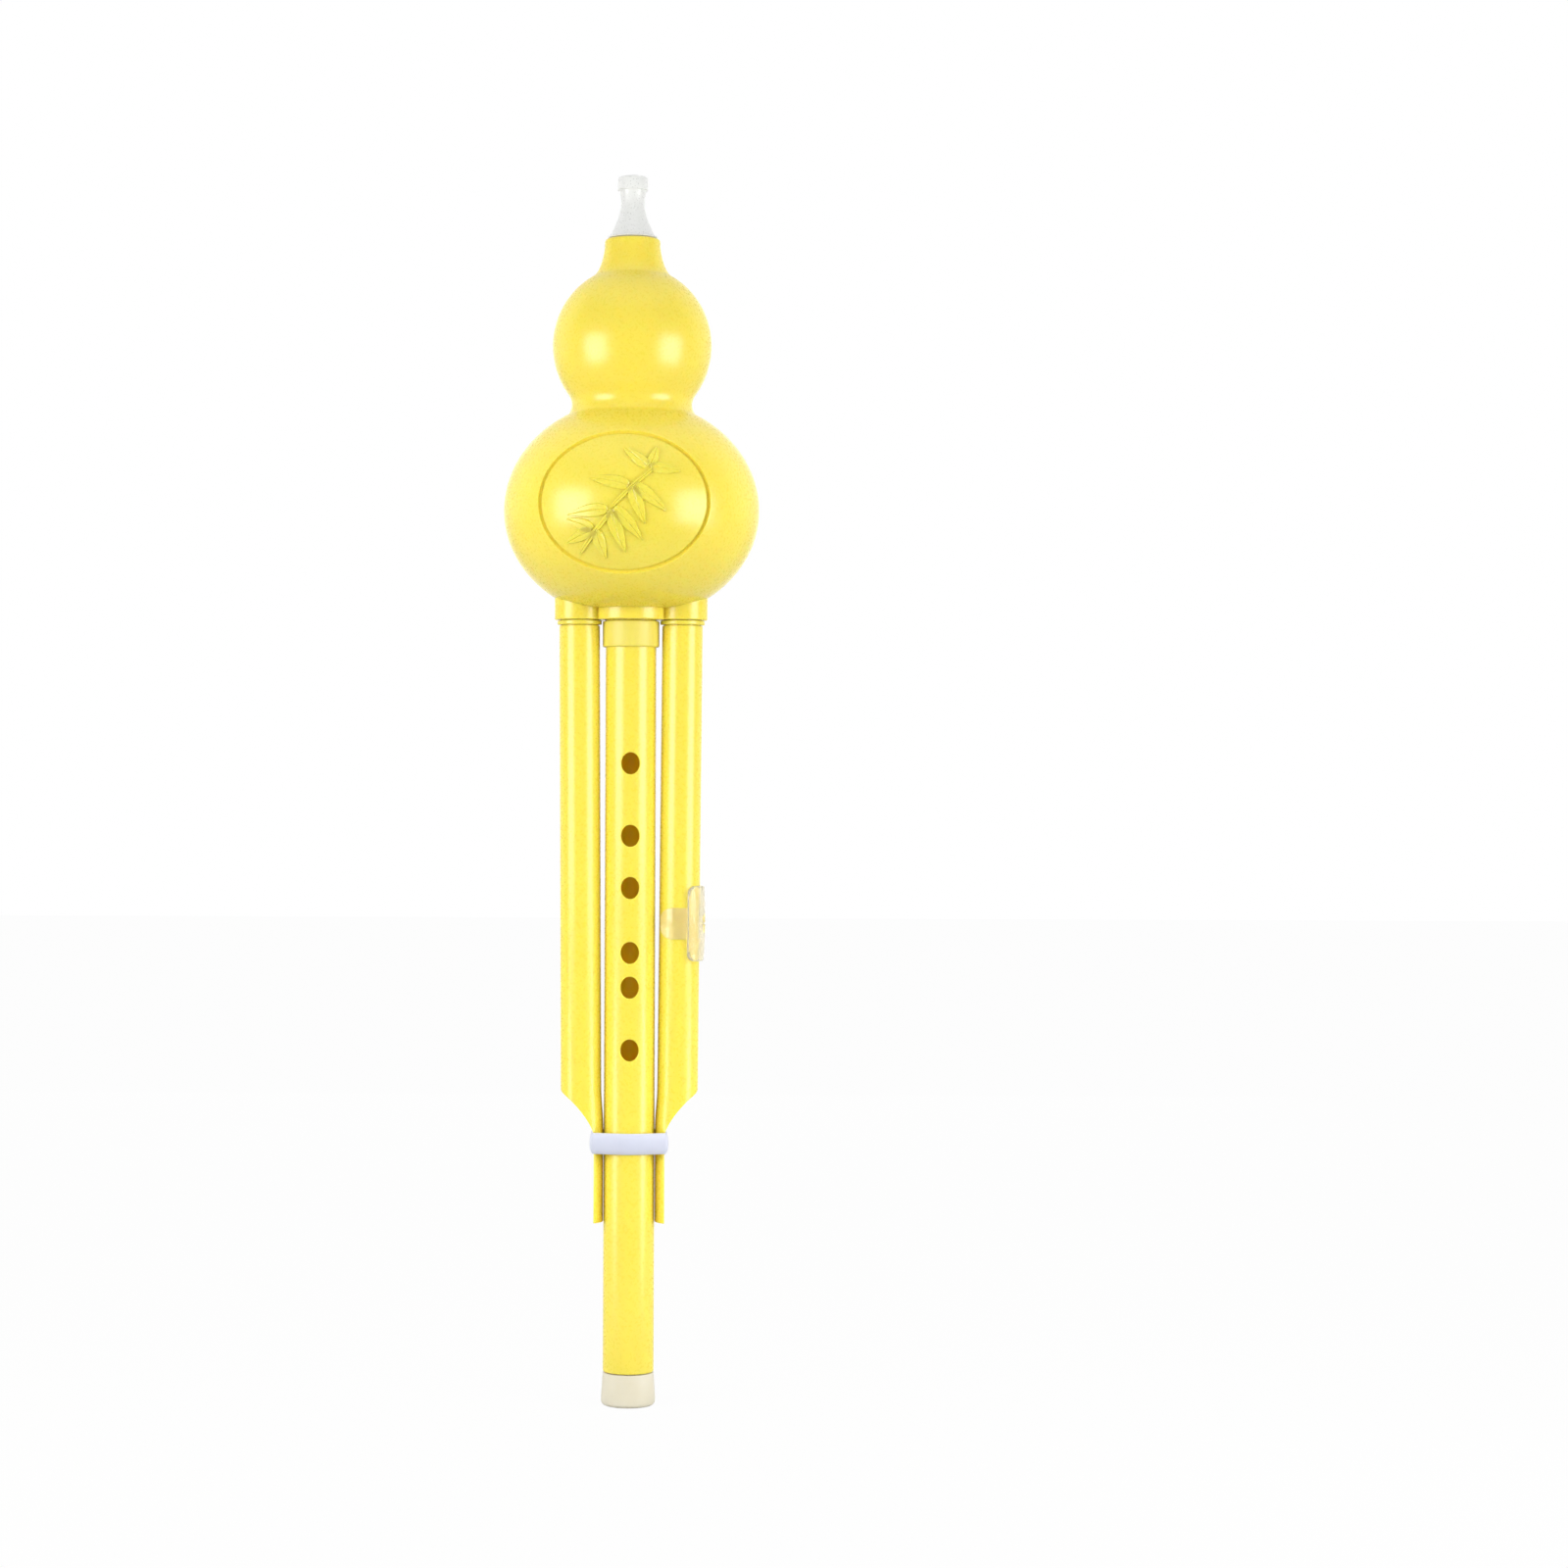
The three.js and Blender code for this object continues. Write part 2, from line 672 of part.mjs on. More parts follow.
function clipPad(inner, middle) {
  const half = padHeight / 2;
  const end = inner + padWall;
  const profile = [
    at(inner, middle - half),
    at(end, middle - half),
    at(end + padCrown, middle - half * padCrownShare),
    at(end + padCrown, middle + half * padCrownShare),
    at(end, middle + half),
    at(inner, middle + half),
    at(inner, middle - half),
  ];
  const corner = padCornerRadius;
  const outline = new THREE.Shape();
  outline.absarc(padHalfWidth - corner, half - corner, corner, 0, Math.PI / 2);
  outline.absarc(corner - padHalfWidth, half - corner, corner, Math.PI / 2, Math.PI);
  outline.absarc(corner - padHalfWidth, corner - half, corner, Math.PI, 3 * Math.PI / 2);
  outline.absarc(padHalfWidth - corner, corner - half, corner, 3 * Math.PI / 2, 2 * Math.PI);
  const settings = { depth: end + padCrown + overrun, bevelEnabled: false, curveSegments: padSteps };
  const window = new THREE.ExtrudeGeometry(outline, settings);
  window.rotateX(Math.PI / 2).rotateZ(Math.PI / 2).translate(0, 0, middle);
  return solid(turned(profile, pipeSides)).intersect(solid(window));
}

function droneClip() {
  const inner = droneRadius + slideGap;
  const outer = inner + clipWall;
  const middle = -droneLength * clipShare;
  const half = clipHeight / 2;
  const ring = solid(sleeve(inner, outer, middle - half, middle + half, pipeSides));
  const spread = sector(clipFrontAngle, clipBackAngle, 2 * outer, clipSteps);
  const strap = ring.intersect(solid(raised(spread, middle - padHeight, middle + padHeight)));
  return join(strap, clipPad(inner, middle));
}

// Band round the main pipe and both tongues
function bandOutline(offset, cornerAcross, cornerDeep) {
  const around = mainPipeRadius + slideGap;
  const reach = Math.hypot(cornerAcross, cornerDeep);
  const tangent = Math.atan2(cornerDeep, cornerAcross) + Math.acos((around - bandCornerRadius) / reach);
  const outline = new THREE.Path();
  const corner = bandCornerRadius + offset;
  const round = around + offset;
  outline.absarc(cornerAcross, cornerDeep, corner, 0, tangent);
  outline.absarc(0, 0, round, tangent, Math.PI - tangent);
  outline.absarc(-cornerAcross, cornerDeep, corner, Math.PI - tangent, Math.PI);
  outline.absarc(-cornerAcross, -cornerDeep, corner, Math.PI, Math.PI + tangent);
  outline.absarc(0, 0, round, Math.PI + tangent, 2 * Math.PI - tangent);
  outline.absarc(cornerAcross, -cornerDeep, corner, 2 * Math.PI - tangent, 2 * Math.PI);
  return outline.getPoints(bandSteps);
}

function elasticBand() {
  const high = socketRim + sweepFoot * Math.cos(droneTilt) - bandDrop;
  const low = high - bandHeight;
  const axis = droneSpacing - (socketRim - high) * Math.tan(droneTilt);
  const tongueHalfWidth = Math.sqrt(droneRadius ** 2 - tongueInset ** 2);
  const across = axis - tongueInset + slideGap - bandCornerRadius;
  const deep = tongueHalfWidth + slideGap - bandCornerRadius;
  const shape = new THREE.Shape(bandOutline(bandWall, across, deep));
  shape.holes.push(new THREE.Path(bandOutline(0, across, deep)));
  return solid(raised(shape, low, high));
}

// Mouthpiece
function mouthpiece() {
  const top = mouthFoot + mouthLength;
  const rimFoot = top - mouthRimHeight;
  const baseTop = mouthFoot + mouthBaseHeight;
  const drop = rimFoot - baseTop;
  const pulls = mouthCurveShares.map((share) => at(mouthPullRadius, rimFoot - drop * share));
  const start = at(mouthRimRadius - mouthRimStep, rimFoot);
  const flare = new THREE.CubicBezierCurve(start, ...pulls, at(mouthBaseRadius - mouthBaseRound, baseTop));
  const spigotFoot = mouthFoot - mouthSpigotLength;
  const spigotBore = mouthSpigotRadius - mouthSpigotWall;
  const throat = mouthFoot + mouthLength * mouthThroatShare;
  const profile = [
    at(spigotBore, spigotFoot),
    at(mouthSpigotRadius - mouthSpigotBevel, spigotFoot),
    at(mouthSpigotRadius, spigotFoot + mouthSpigotBevel),
    ...grooveOutline(neckBore, mouthSpigotRadius, sealDepth, mouthSealHeight()),
    at(mouthSpigotRadius, mouthFoot),
    at(mouthBaseRadius, mouthFoot),
    ...flare.getPoints(sweepSteps).reverse(),
    at(mouthRimRadius, rimFoot),
    at(mouthRimRadius, top - mouthRimRound),
    at(mouthRimRadius - mouthRimRound, top),
    at(mouthBoreRadius, top),
    at(mouthBoreRadius, throat),
    at(spigotBore, mouthFoot),
    at(spigotBore, spigotFoot),
  ];
  return solid(turned(profile, smallSides));
}

function mouthSealHeight() {
  return mouthFoot - mouthSpigotLength * mouthSealShare;
}

// Assembly
function gourd() {
  const halves = gourdHalves();
  return [
    piece('gourd_front_shell', halves.front, yellowPlastic()),
    piece('gourd_back_shell', halves.back, yellowPlastic()),
    piece('socket_block', socketBlock(), yellowPlastic()),
  ];
}

function blowingEnd() {
  const seal = sealRing(neckBore, mouthSpigotRadius, sealDepth, mouthSealHeight());
  return [
    piece('mouthpiece', mouthpiece(), frostedPlastic()),
    piece('mouthpiece_seal_ring', seal, sealRubber()),
  ];
}

function melodyPipe() {
  const seals = mainSealHeights().map((height, i) => {
    const ring = sealRing(mainSocketBore, mainPipeRadius, sealDepth, height);
    return piece(['main_seal_ring_lower', 'main_seal_ring_upper'][i], ring, sealRubber());
  });
  return [
    piece('main_pipe', mainPipe(), yellowPlastic()),
    piece('main_ferrule', mainFerrule(), ferrulePlastic()),
    ...seals,
    piece('main_reed_holder', reedHolder(mainReed, mainPipeTop, mainPipeBore), holderPlastic()),
    piece('main_reed_plate', reedPlate(mainReed, mainPipeTop), reedBrass()),
    piece('end_cap', endCap(), creamPlastic()),
  ];
}

function drone(name, side, pipe) {
  const sealHeight = droneSpigotLength * droneSealShare;
  const seal = sealRing(droneSocketBore, droneSpigotRadius, droneSealDepth, sealHeight);
  const group = droneGroup(side);
  group.add(piece(`${name}_drone_pipe`, pipe, yellowPlastic()));
  group.add(piece(`${name}_drone_collar`, droneCollar(), yellowPlastic()));
  group.add(piece(`${name}_drone_seal_ring`, seal, sealRubber()));
  return group;
}

function leftDrone() {
  const group = drone('left', -1, dronePipe(-1));
  group.add(piece('left_drone_stopper', droneStopper(), holderPlastic()));
  return group;
}

function rightDrone() {
  const group = drone('right', 1, cut(dronePipe(1), soundHole(1)));
  const bore = droneSpigotRadius - droneSpigotWall;
  const holder = reedHolder(droneReed, droneSpigotLength, bore);
  group.add(piece('right_drone_reed_holder', holder, holderPlastic()));
  group.add(piece('right_drone_reed_plate', reedPlate(droneReed, droneSpigotLength), reedBrass()));
  group.add(piece('drone_clip', droneClip(), clearPlastic()));
  return group;
}

const hulusi = new THREE.Group();
hulusi.add(...gourd(), ...blowingEnd(), ...melodyPipe(), leftDrone(), rightDrone());
hulusi.add(piece('elastic_band', elasticBand(), elasticSilicone()));

export default hulusi;
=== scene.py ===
import json
import math
import bmesh
import bpy
from mathutils import Matrix, Vector


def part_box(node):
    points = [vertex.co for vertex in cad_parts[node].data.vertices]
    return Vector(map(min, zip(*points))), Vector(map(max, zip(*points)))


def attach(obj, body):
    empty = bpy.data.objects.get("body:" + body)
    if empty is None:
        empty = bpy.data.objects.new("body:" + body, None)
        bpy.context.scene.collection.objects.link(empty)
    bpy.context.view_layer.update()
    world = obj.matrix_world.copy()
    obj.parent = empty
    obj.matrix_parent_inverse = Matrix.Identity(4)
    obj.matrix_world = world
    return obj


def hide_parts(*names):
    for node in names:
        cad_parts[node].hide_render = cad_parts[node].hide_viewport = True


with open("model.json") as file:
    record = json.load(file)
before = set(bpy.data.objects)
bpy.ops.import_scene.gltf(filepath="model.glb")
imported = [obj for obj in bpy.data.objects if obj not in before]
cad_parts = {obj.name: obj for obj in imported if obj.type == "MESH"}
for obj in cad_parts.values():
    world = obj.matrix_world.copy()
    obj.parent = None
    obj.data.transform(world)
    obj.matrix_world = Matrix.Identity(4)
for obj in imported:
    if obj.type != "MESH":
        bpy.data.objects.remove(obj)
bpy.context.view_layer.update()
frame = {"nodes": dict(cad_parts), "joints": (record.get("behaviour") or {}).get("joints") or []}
print("frame loaded:", len(frame["nodes"]), "nodes")

# A hulusi of moulded plastic, front towards -Y. Sizes below are in millimetres, meshes in metres.
mm = 0.001
nodes = frame["nodes"]
steps = {"arc": 5, "bend": 24, "sharpAngle": 34, "sides": 96, "wideSides": 128, "smallSides": 64,
         "holeSides": 48, "mergeWithin": 0.002, "thinnestEdge": 0.0005}
overrun = 2  # how far a cutting tool reaches past what it cuts
hands = {"left": -1, "right": 1}


def cornersOf(node):  # lowest and highest corner of a CAD node, in millimetres
    low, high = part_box(node)
    return low / mm, high / mm


def pipeRadiusOf(node):
    low, high = cornersOf(node)
    return (high.y - low.y) / 2


mainPipeLow, mainPipeHigh = cornersOf("main_pipe")
capHigh = cornersOf("end_cap")[1]
blockLow, blockHigh = cornersOf("socket_block")
mouthLow, mouthHigh = cornersOf("mouthpiece")
bandLow, bandHigh = cornersOf("elastic_band")
ferruleLow, ferruleHigh = cornersOf("main_ferrule")
gourdHigh = cornersOf("gourd_front_shell")[1]
mainRadius = pipeRadiusOf("main_pipe")
droneRadius = pipeRadiusOf("left_drone_pipe")
socketRim = blockLow.z
clipTurn = next(joint for joint in frame["joints"] if joint["name"] == "clip_turn")
droneAxis, droneFoot = Vector(clipTurn["axis"]), Vector(clipTurn["pos_m"]) / mm
droneSpacing = droneFoot.x
droneTilt = math.atan2(droneAxis.x, droneAxis.z)


# Nodes of materials and of geometry trees
def addNode(tree, kind, inputs=None, **settings):  # an input is a value, a socket, or a node's first output
    node = tree.nodes.new(kind)
    for name, value in settings.items():
        setattr(node, name, value)
    for name, value in (inputs or {}).items():
        if isinstance(value, bpy.types.Node):
            value = value.outputs[0]
        if isinstance(value, bpy.types.NodeSocket):
            tree.links.new(value, node.inputs[name])
        else:
            node.inputs[name].default_value = value
    return node


def reckonAll(tree, known, rows):  # a row is a new name, an operation, and its terms: known names or numbers
    for name, operation, *terms in rows:
        inputs = {i: known[term] if isinstance(term, str) else term for i, term in enumerate(terms)}
        if operation in ("LINEAR", "SMOOTHSTEP"):
            known[name] = addNode(tree, "ShaderNodeMapRange", inputs, interpolation_type=operation)
        else:
            known[name] = addNode(tree, "ShaderNodeMath", inputs, operation=operation)
    return known


def emptyTree(owner):  # of a material or a world
    owner.use_nodes = True
    owner.node_tree.nodes.clear()
    return owner.node_tree


def linear(hexColour):
    parts = [int(hexColour[i:i + 2], 16) / 255 for i in (0, 2, 4)]
    return (*[c / 12.92 if c <= 0.04045 else ((c + 0.055) / 1.055) ** 2.4 for c in parts], 1)


def perMetre(size):  # scale of a texture whose features are this many millimetres wide
    return 1 / (size * mm)


def newMaterial(name, surface, shadowless=0):  # shadowless is the share of light let through straight
    material = bpy.data.materials.new(name)
    tree = emptyTree(material)
    shader = addNode(tree, "ShaderNodeBsdfPrincipled", surface)
    seen = shader
    if shadowless:
        shadow = addNode(tree, "ShaderNodeLightPath").outputs["Is Shadow Ray"]
        share = addNode(tree, "ShaderNodeMath", {0: shadow, 1: shadowless}, operation="MULTIPLY")
        through = addNode(tree, "ShaderNodeBsdfTransparent")
        seen = addNode(tree, "ShaderNodeMixShader", {0: share, 1: shader, 2: through})
    addNode(tree, "ShaderNodeOutputMaterial", {"Surface": seen})
    return material, tree, shader, addNode(tree, "ShaderNodeTexCoord").outputs["Object"]


# Every finish mixes two close colours by a faint pattern. A finer one spreads the roughness between
# its own low and high values, and stands up a little as relief.
def dress(tree, shader, look, pigment, skin, low, under=None):
    tone = addNode(tree, "ShaderNodeMix",
                   {0: pigment, 6: linear(look["colour"]), 7: linear(look["deep"])}, data_type="RGBA")
    matt = addNode(tree, "ShaderNodeMapRange",
                   {0: skin, 1: low, 2: 1 - low, 3: look["roughness"] - look["spread"],
                    4: look["roughness"] + look["spread"]})
    relief = addNode(tree, "ShaderNodeBump",
                     {"Height": skin, "Distance": look["skinHeight"] * mm, "Strength": 1.0, **(under or {})})
    tree.links.new(tone.outputs[2], shader.inputs["Base Color"])
    tree.links.new(matt.outputs[0], shader.inputs["Roughness"])
    tree.links.new(relief.outputs[0], shader.inputs["Normal"])


# Moulded ABS: an even, slightly waxy colour with soft highlights, faint flow marks in the pigment
# and the fine grain that the mould's polish leaves. A little light passes the thin walls.
def mouldedAbs(name, look):
    material, tree, shader, place = newMaterial(name, {
        "IOR": 1.53, "Subsurface Weight": look["glow"], "Subsurface Scale": look["glowDepth"] * mm,
        "Subsurface Radius": (1.0, 0.6, 0.12)})
    flow = addNode(tree, "ShaderNodeTexNoise",
                   {"Vector": place, "Scale": perMetre(look["flowSize"]), "Detail": 3.0, "Distortion": 0.6})
    grain = addNode(tree, "ShaderNodeTexNoise", {"Vector": place, "Scale": perMetre(look["grainSize"])})
    wave = addNode(tree, "ShaderNodeTexNoise",
                   {"Vector": place, "Scale": perMetre(look["waveSize"]), "Detail": 1.0})
    waves = addNode(tree, "ShaderNodeBump",
                    {"Height": wave, "Distance": look["waveHeight"] * mm, "Strength": 1.0})
    dress(tree, shader, look, flow, grain, 0.35, {"Normal": waves})
    return material


# Frosted plastic, polypropylene or clear styrene: light passes, blurred by the matt skin, and the
# wall shows paler where it is thin.
def frostedPlastic(name, look):
    material, tree, shader, place = newMaterial(name, {
        "IOR": look["ior"], "Transmission Weight": look["clear"], "Subsurface Weight": look["milk"],
        "Subsurface Scale": look["milkDepth"] * mm, "Subsurface Radius": (1.0, 1.0, 1.0)}, look["shadowless"])
    cloud = addNode(tree, "ShaderNodeTexNoise",
                    {"Vector": place, "Scale": perMetre(look["cloudSize"]), "Detail": 2.0})
    skin = addNode(tree, "ShaderNodeTexNoise", {"Vector": place, "Scale": perMetre(look["skinSize"])})
    dress(tree, shader, look, cloud, skin, 0.35)
    return material


# Silicone and soft rubber: matt, faintly powdery, with a fine ripple from the mould.
def softRubber(name, look):
    material, tree, shader, place = newMaterial(name, {
        "IOR": 1.41, "Subsurface Weight": look["milk"], "Subsurface Scale": look["milkDepth"] * mm,
        "Subsurface Radius": (1.0, 1.0, 1.0), "Sheen Weight": look["bloom"]})
    cloud = addNode(tree, "ShaderNodeTexNoise",
                    {"Vector": place, "Scale": perMetre(look["cloudSize"]), "Detail": 3.0})
    dust = addNode(tree, "ShaderNodeTexNoise", {"Vector": place, "Scale": perMetre(look["dustSize"])})
    dress(tree, shader, look, cloud, dust, 0.3)
    return material


# Rolled brass sheet: warm yellow metal with fine scratches along the reed.
def rolledBrass(name, look):
    material, tree, shader, place = newMaterial(name, {"Metallic": 1.0})
    lengthwise = addNode(tree, "ShaderNodeMapping", {"Vector": place, "Scale": (1.0, 1.0, look["drawShare"])})
    scratch = addNode(tree, "ShaderNodeTexNoise",
                      {"Vector": lengthwise, "Scale": perMetre(look["scratchWidth"]), "Detail": 4.0})
    dress(tree, shader, look, scratch, scratch, 0.3)
    return material


polishedMould = {"flowSize": 26, "grainSize": 0.9, "skinHeight": 0.0012, "waveSize": 9, "waveHeight": 0.012}
materials = {
    "yellow_plastic": mouldedAbs("semiGlossYellowAbs", {
        "colour": "EFDA52", "deep": "EAD449", "roughness": 0.29, "spread": 0.03,
        "glow": 0.4, "glowDepth": 4, **polishedMould}),
    "pipe_bore": mouldedAbs("boreLightPaintedYellowAbs", {  # painted light: warmer and brighter than the outer wall, to paint the light seen inside the pipe
        "colour": "FCDE58", "deep": "F8D850", "roughness": 0.24, "spread": 0.03,
        "glow": 1.0, "glowDepth": 6, **polishedMould}),
    "ferrule_plastic": mouldedAbs("satinPaleYellowAbs", {
        "colour": "E8D862", "deep": "E4D158", "roughness": 0.46, "spread": 0.05, "glow": 0.25, "glowDepth": 3,
        "flowSize": 8, "grainSize": 0.6, "skinHeight": 0.004, "waveSize": 5, "waveHeight": 0.01}),
    "holder_plastic": mouldedAbs("satinOffWhiteAbs", {
        "colour": "F3F0E4", "deep": "EBE6D6", "roughness": 0.45, "spread": 0.05, "glow": 0.1, "glowDepth": 1,
        "flowSize": 9, "grainSize": 0.6, "skinHeight": 0.003, "waveSize": 5, "waveHeight": 0.008}),
    "frosted_plastic": frostedPlastic("frostedPolypropylene", {
        "colour": "F8F9F6", "deep": "F2F4F0", "roughness": 0.32, "spread": 0.05, "ior": 1.49,
        "clear": 0.25, "milk": 0.5, "milkDepth": 2.5, "cloudSize": 7, "skinSize": 0.5, "skinHeight": 0.002,
        "shadowless": 0}),
    "cream_plastic": frostedPlastic("creamSoftPolypropylene", {
        "colour": "EFE9D6", "deep": "E7E0C8", "roughness": 0.42, "spread": 0.06, "ior": 1.49,
        "clear": 0.25, "milk": 0.5, "milkDepth": 2.0, "cloudSize": 6, "skinSize": 0.5, "skinHeight": 0.003,
        "shadowless": 0}),
    "clear_plastic": frostedPlastic("clearStyrene", {
        "colour": "FFFAE4", "deep": "FDF5D6", "roughness": 0.2, "spread": 0.04, "ior": 1.5,
        "clear": 0.88, "milk": 0.08, "milkDepth": 1.5, "cloudSize": 9, "skinSize": 0.7, "skinHeight": 0.002,
        "shadowless": 0.5}),
    "band_silicone": softRubber("milkySilicone", {
        "colour": "C9CCDA", "deep": "BFC3D3", "roughness": 0.5, "spread": 0.08, "milk": 0.4, "milkDepth": 1.2,
        "bloom": 0.1, "cloudSize": 10, "dustSize": 0.5, "skinHeight": 0.006}),
    "seal_rubber": softRubber("paleSealRubber", {
        "colour": "DCD7C9", "deep": "CFC9B9", "roughness": 0.6, "spread": 0.08, "milk": 0.15,
        "milkDepth": 0.6, "bloom": 0.1, "cloudSize": 4, "dustSize": 0.3, "skinHeight": 0.006}),
    "reed_brass": rolledBrass("rolledReedBrass", {
        "colour": "D8B25A", "deep": "B98F3C", "roughness": 0.325, "spread": 0.075, "drawShare": 0.06,
        "scratchWidth": 0.12, "skinHeight": 0.002}),
}
print("materials made:", len(materials))


# Outlines of radius and height
def rounded(outline, arcSteps=steps["arc"]):  # a corner written (radius, height, round) gets an arc
    points = []
    for i, (radius, height, *rounds) in enumerate(outline):
        corner = Vector((radius, height))
        if not any(rounds):
            points.append(corner)
            continue
        before = (Vector(outline[i - 1][:2]) - corner).normalized()
        after = (Vector(outline[(i + 1) % len(outline)][:2]) - corner).normalized()
        half = before.angle(after) / 2
        middle = corner + (before + after).normalized() * rounds[0] / math.sin(half)
        start = corner + before * rounds[0] / math.tan(half) - middle
        end = corner + after * rounds[0] / math.tan(half) - middle
        points += [middle + start.slerp(end, k / arcSteps) * rounds[0] for k in range(arcSteps + 1)]
    return points


def ellipseArc(x, y, halfWidth, halfHeight, start, end, count):
    angles = [start + (end - start) * i / count for i in range(count + 1)]
    return [Vector((x + halfWidth * math.cos(a), y + halfHeight * math.sin(a))) for a in angles]


def bend(points, count):  # Bezier curve of any order
    curve = []
    for i in range(count + 1):
        level = [Vector(p) for p in points]
        while len(level) > 1:
            level = [a.lerp(b, i / count) for a, b in zip(level, level[1:])]
        curve.append(level[0])
    return curve


def spread(start, end, count):  # points between two, without the ends
    return [start.lerp(end, i / count) for i in range(1, count)]


def rod(radius, low, high):
    return [(0, low), (radius, low), (radius, high), (0, high)]


def ring(outline):  # an outline that doesn't reach the axis closes on itself
    return [*outline, outline[0]]


def sealGroove(radius, middle, part):  # the groove that a seal ring lies in, from below
    deep, soft = radius - part["sealDepth"], part["grooveRound"]
    low, high = middle - part["sealHalfHeight"], middle + part["sealHalfHeight"]
    return [(radius, low, soft), (deep, low), (deep, high), (radius, high, soft)]


def nearestRows(rows, heights):
    return [min(range(len(rows)), key=lambda i: abs(rows[i].y - height)) for height in heights]


# Meshes
def tidied(mesh):  # merged corners, faces outwards
    work = bmesh.new()
    work.from_mesh(mesh)
    bmesh.ops.remove_doubles(work, verts=work.verts, dist=steps["mergeWithin"] * mm)
    bmesh.ops.dissolve_degenerate(work, edges=work.edges, dist=steps["thinnestEdge"] * mm)
    bmesh.ops.recalc_face_normals(work, faces=work.faces)
    work.to_mesh(mesh)
    work.free()
    return mesh


def meshOf(name, points, faces):  # points in millimetres
    mesh = bpy.data.meshes.new(name)
    mesh.from_pydata([Vector(p) * mm for p in points], [], faces)
    return tidied(mesh)


def evaluated(item):
    mesh = bpy.data.meshes.new_from_object(item.evaluated_get(bpy.context.evaluated_depsgraph_get()))
    data = item.data
    bpy.data.objects.remove(item)
    bpy.data.meshes.remove(data)
    return mesh


def looseObject(mesh):
    item = bpy.data.objects.new(mesh.name, mesh)
    bpy.context.scene.collection.objects.link(item)
    return item


def carved(mesh, tools, operation="DIFFERENCE"):  # tools are meshes, used up
    item = looseObject(mesh)
    cutters = [looseObject(tool) for tool in tools]
    for cutter in cutters:
        cut = item.modifiers.new("cut", "BOOLEAN")
        cut.solver, cut.operation, cut.object = "MANIFOLD", operation, cutter
    bpy.context.view_layer.update()
    result = evaluated(item)
    for cutter in cutters:
        data = cutter.data
        bpy.data.objects.remove(cutter)
        bpy.data.meshes.remove(data)
    return result


def finished(name, mesh, body, slot, *stoodFor):
    mesh.shade_smooth()
    mesh.set_sharp_from_angle(angle=math.radians(steps["sharpAngle"]))
    mesh.materials.clear()
    mesh.materials.append(materials[slot])
    mesh.name = name
    piece = looseObject(mesh)
    piece.name = name
    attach(piece, body)
    if stoodFor:
        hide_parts(*stoodFor)
    return piece


# Geometry Nodes: a body turned from its outline
def newTree(name, sockets):
    tree = bpy.data.node_groups.new(name, "GeometryNodeTree")
    tree.interface.new_socket("Geometry", in_out="INPUT", socket_type="NodeSocketGeometry")
    for label, kind, value in sockets:
        socket = tree.interface.new_socket(label, in_out="INPUT", socket_type=kind)
        if value is not None:
            socket.default_value = value
    tree.interface.new_socket("Geometry", in_out="OUTPUT", socket_type="NodeSocketGeometry")
    return tree, addNode(tree, "NodeGroupInput")


def closeTree(tree, given, geometry):
    real = addNode(tree, "GeometryNodeRealizeInstances", {"Geometry": geometry})
    painted = addNode(tree, "GeometryNodeSetMaterial",
                      {"Geometry": real, "Material": given.outputs["Material"]})
    addNode(tree, "NodeGroupOutput", {"Geometry": painted})
    return tree


def madeBy(tree, name, base, values):  # the tree's result on a mesh, as a plain mesh
    item = looseObject(base)
    maker = item.modifiers.new(name, "NODES")
    maker.node_group = tree
    sockets = {s.name: s.identifier for s in tree.interface.items_tree if s.in_out == "INPUT"}
    for label, value in values.items():
        maker[sockets[label]] = value
    bpy.context.view_layer.update()
    return evaluated(item)


def turnedTree():  # each point of the outline becomes a ring of the grid
    tree, given = newTree("turned body", [("Sides", "NodeSocketInt", 64), ("Merge", "NodeSocketFloat", 1e-6),
                                          ("Material", "NodeSocketMaterial", None)])
    value = given.outputs
    known = {"sides": value["Sides"], "index": addNode(tree, "GeometryNodeInputIndex")}
    reckonAll(tree, known, (
        ("across", "ADD", "sides", 1.0), ("ratio", "DIVIDE", "index", "across"), ("ring", "FLOOR", "ratio"),
        ("side", "MODULO", "index", "across"), ("share", "DIVIDE", "side", "sides"),
        ("angle", "MULTIPLY", "share", 2 * math.pi)))
    count = addNode(tree, "GeometryNodeAttributeDomainSize", {"Geometry": value["Geometry"]})
    grid = addNode(tree, "GeometryNodeMeshGrid",
                   {"Vertices X": count.outputs["Point Count"], "Vertices Y": known["across"]})
    place = addNode(tree, "GeometryNodeInputPosition")
    point = addNode(tree, "GeometryNodeSampleIndex",
                    {"Geometry": value["Geometry"], "Value": place, "Index": known["ring"]},
                    data_type="FLOAT_VECTOR")
    turn = addNode(tree, "ShaderNodeVectorRotate", {"Vector": point, "Angle": known["angle"]},
                   rotation_type="Z_AXIS")
    body = addNode(tree, "GeometryNodeSetPosition", {"Geometry": grid, "Position": turn})
    merged = addNode(tree, "GeometryNodeMergeByDistance", {"Geometry": body, "Distance": value["Merge"]})
    return closeTree(tree, given, merged)


turning = turnedTree()


def turned(name, outline, slot="yellow_plastic", sides=steps["sides"]):
    base = bpy.data.meshes.new(name)
    points = [(p[0] * mm, 0, p[1] * mm) for p in outline]
    base.from_pydata(points, [(i, i + 1) for i in range(len(points) - 1)], [])
    return tidied(madeBy(turning, name, base, {"Sides": sides, "Material": materials[slot]}))


def sleeve(name, bore, radius, low, high, rounds, slot):  # rounds at its lower and upper edge
    outline = [(bore, low), (radius, low, rounds[0]), (radius, high, rounds[1]), (bore, high)]
    return turned(name, ring(rounded(outline)), slot)


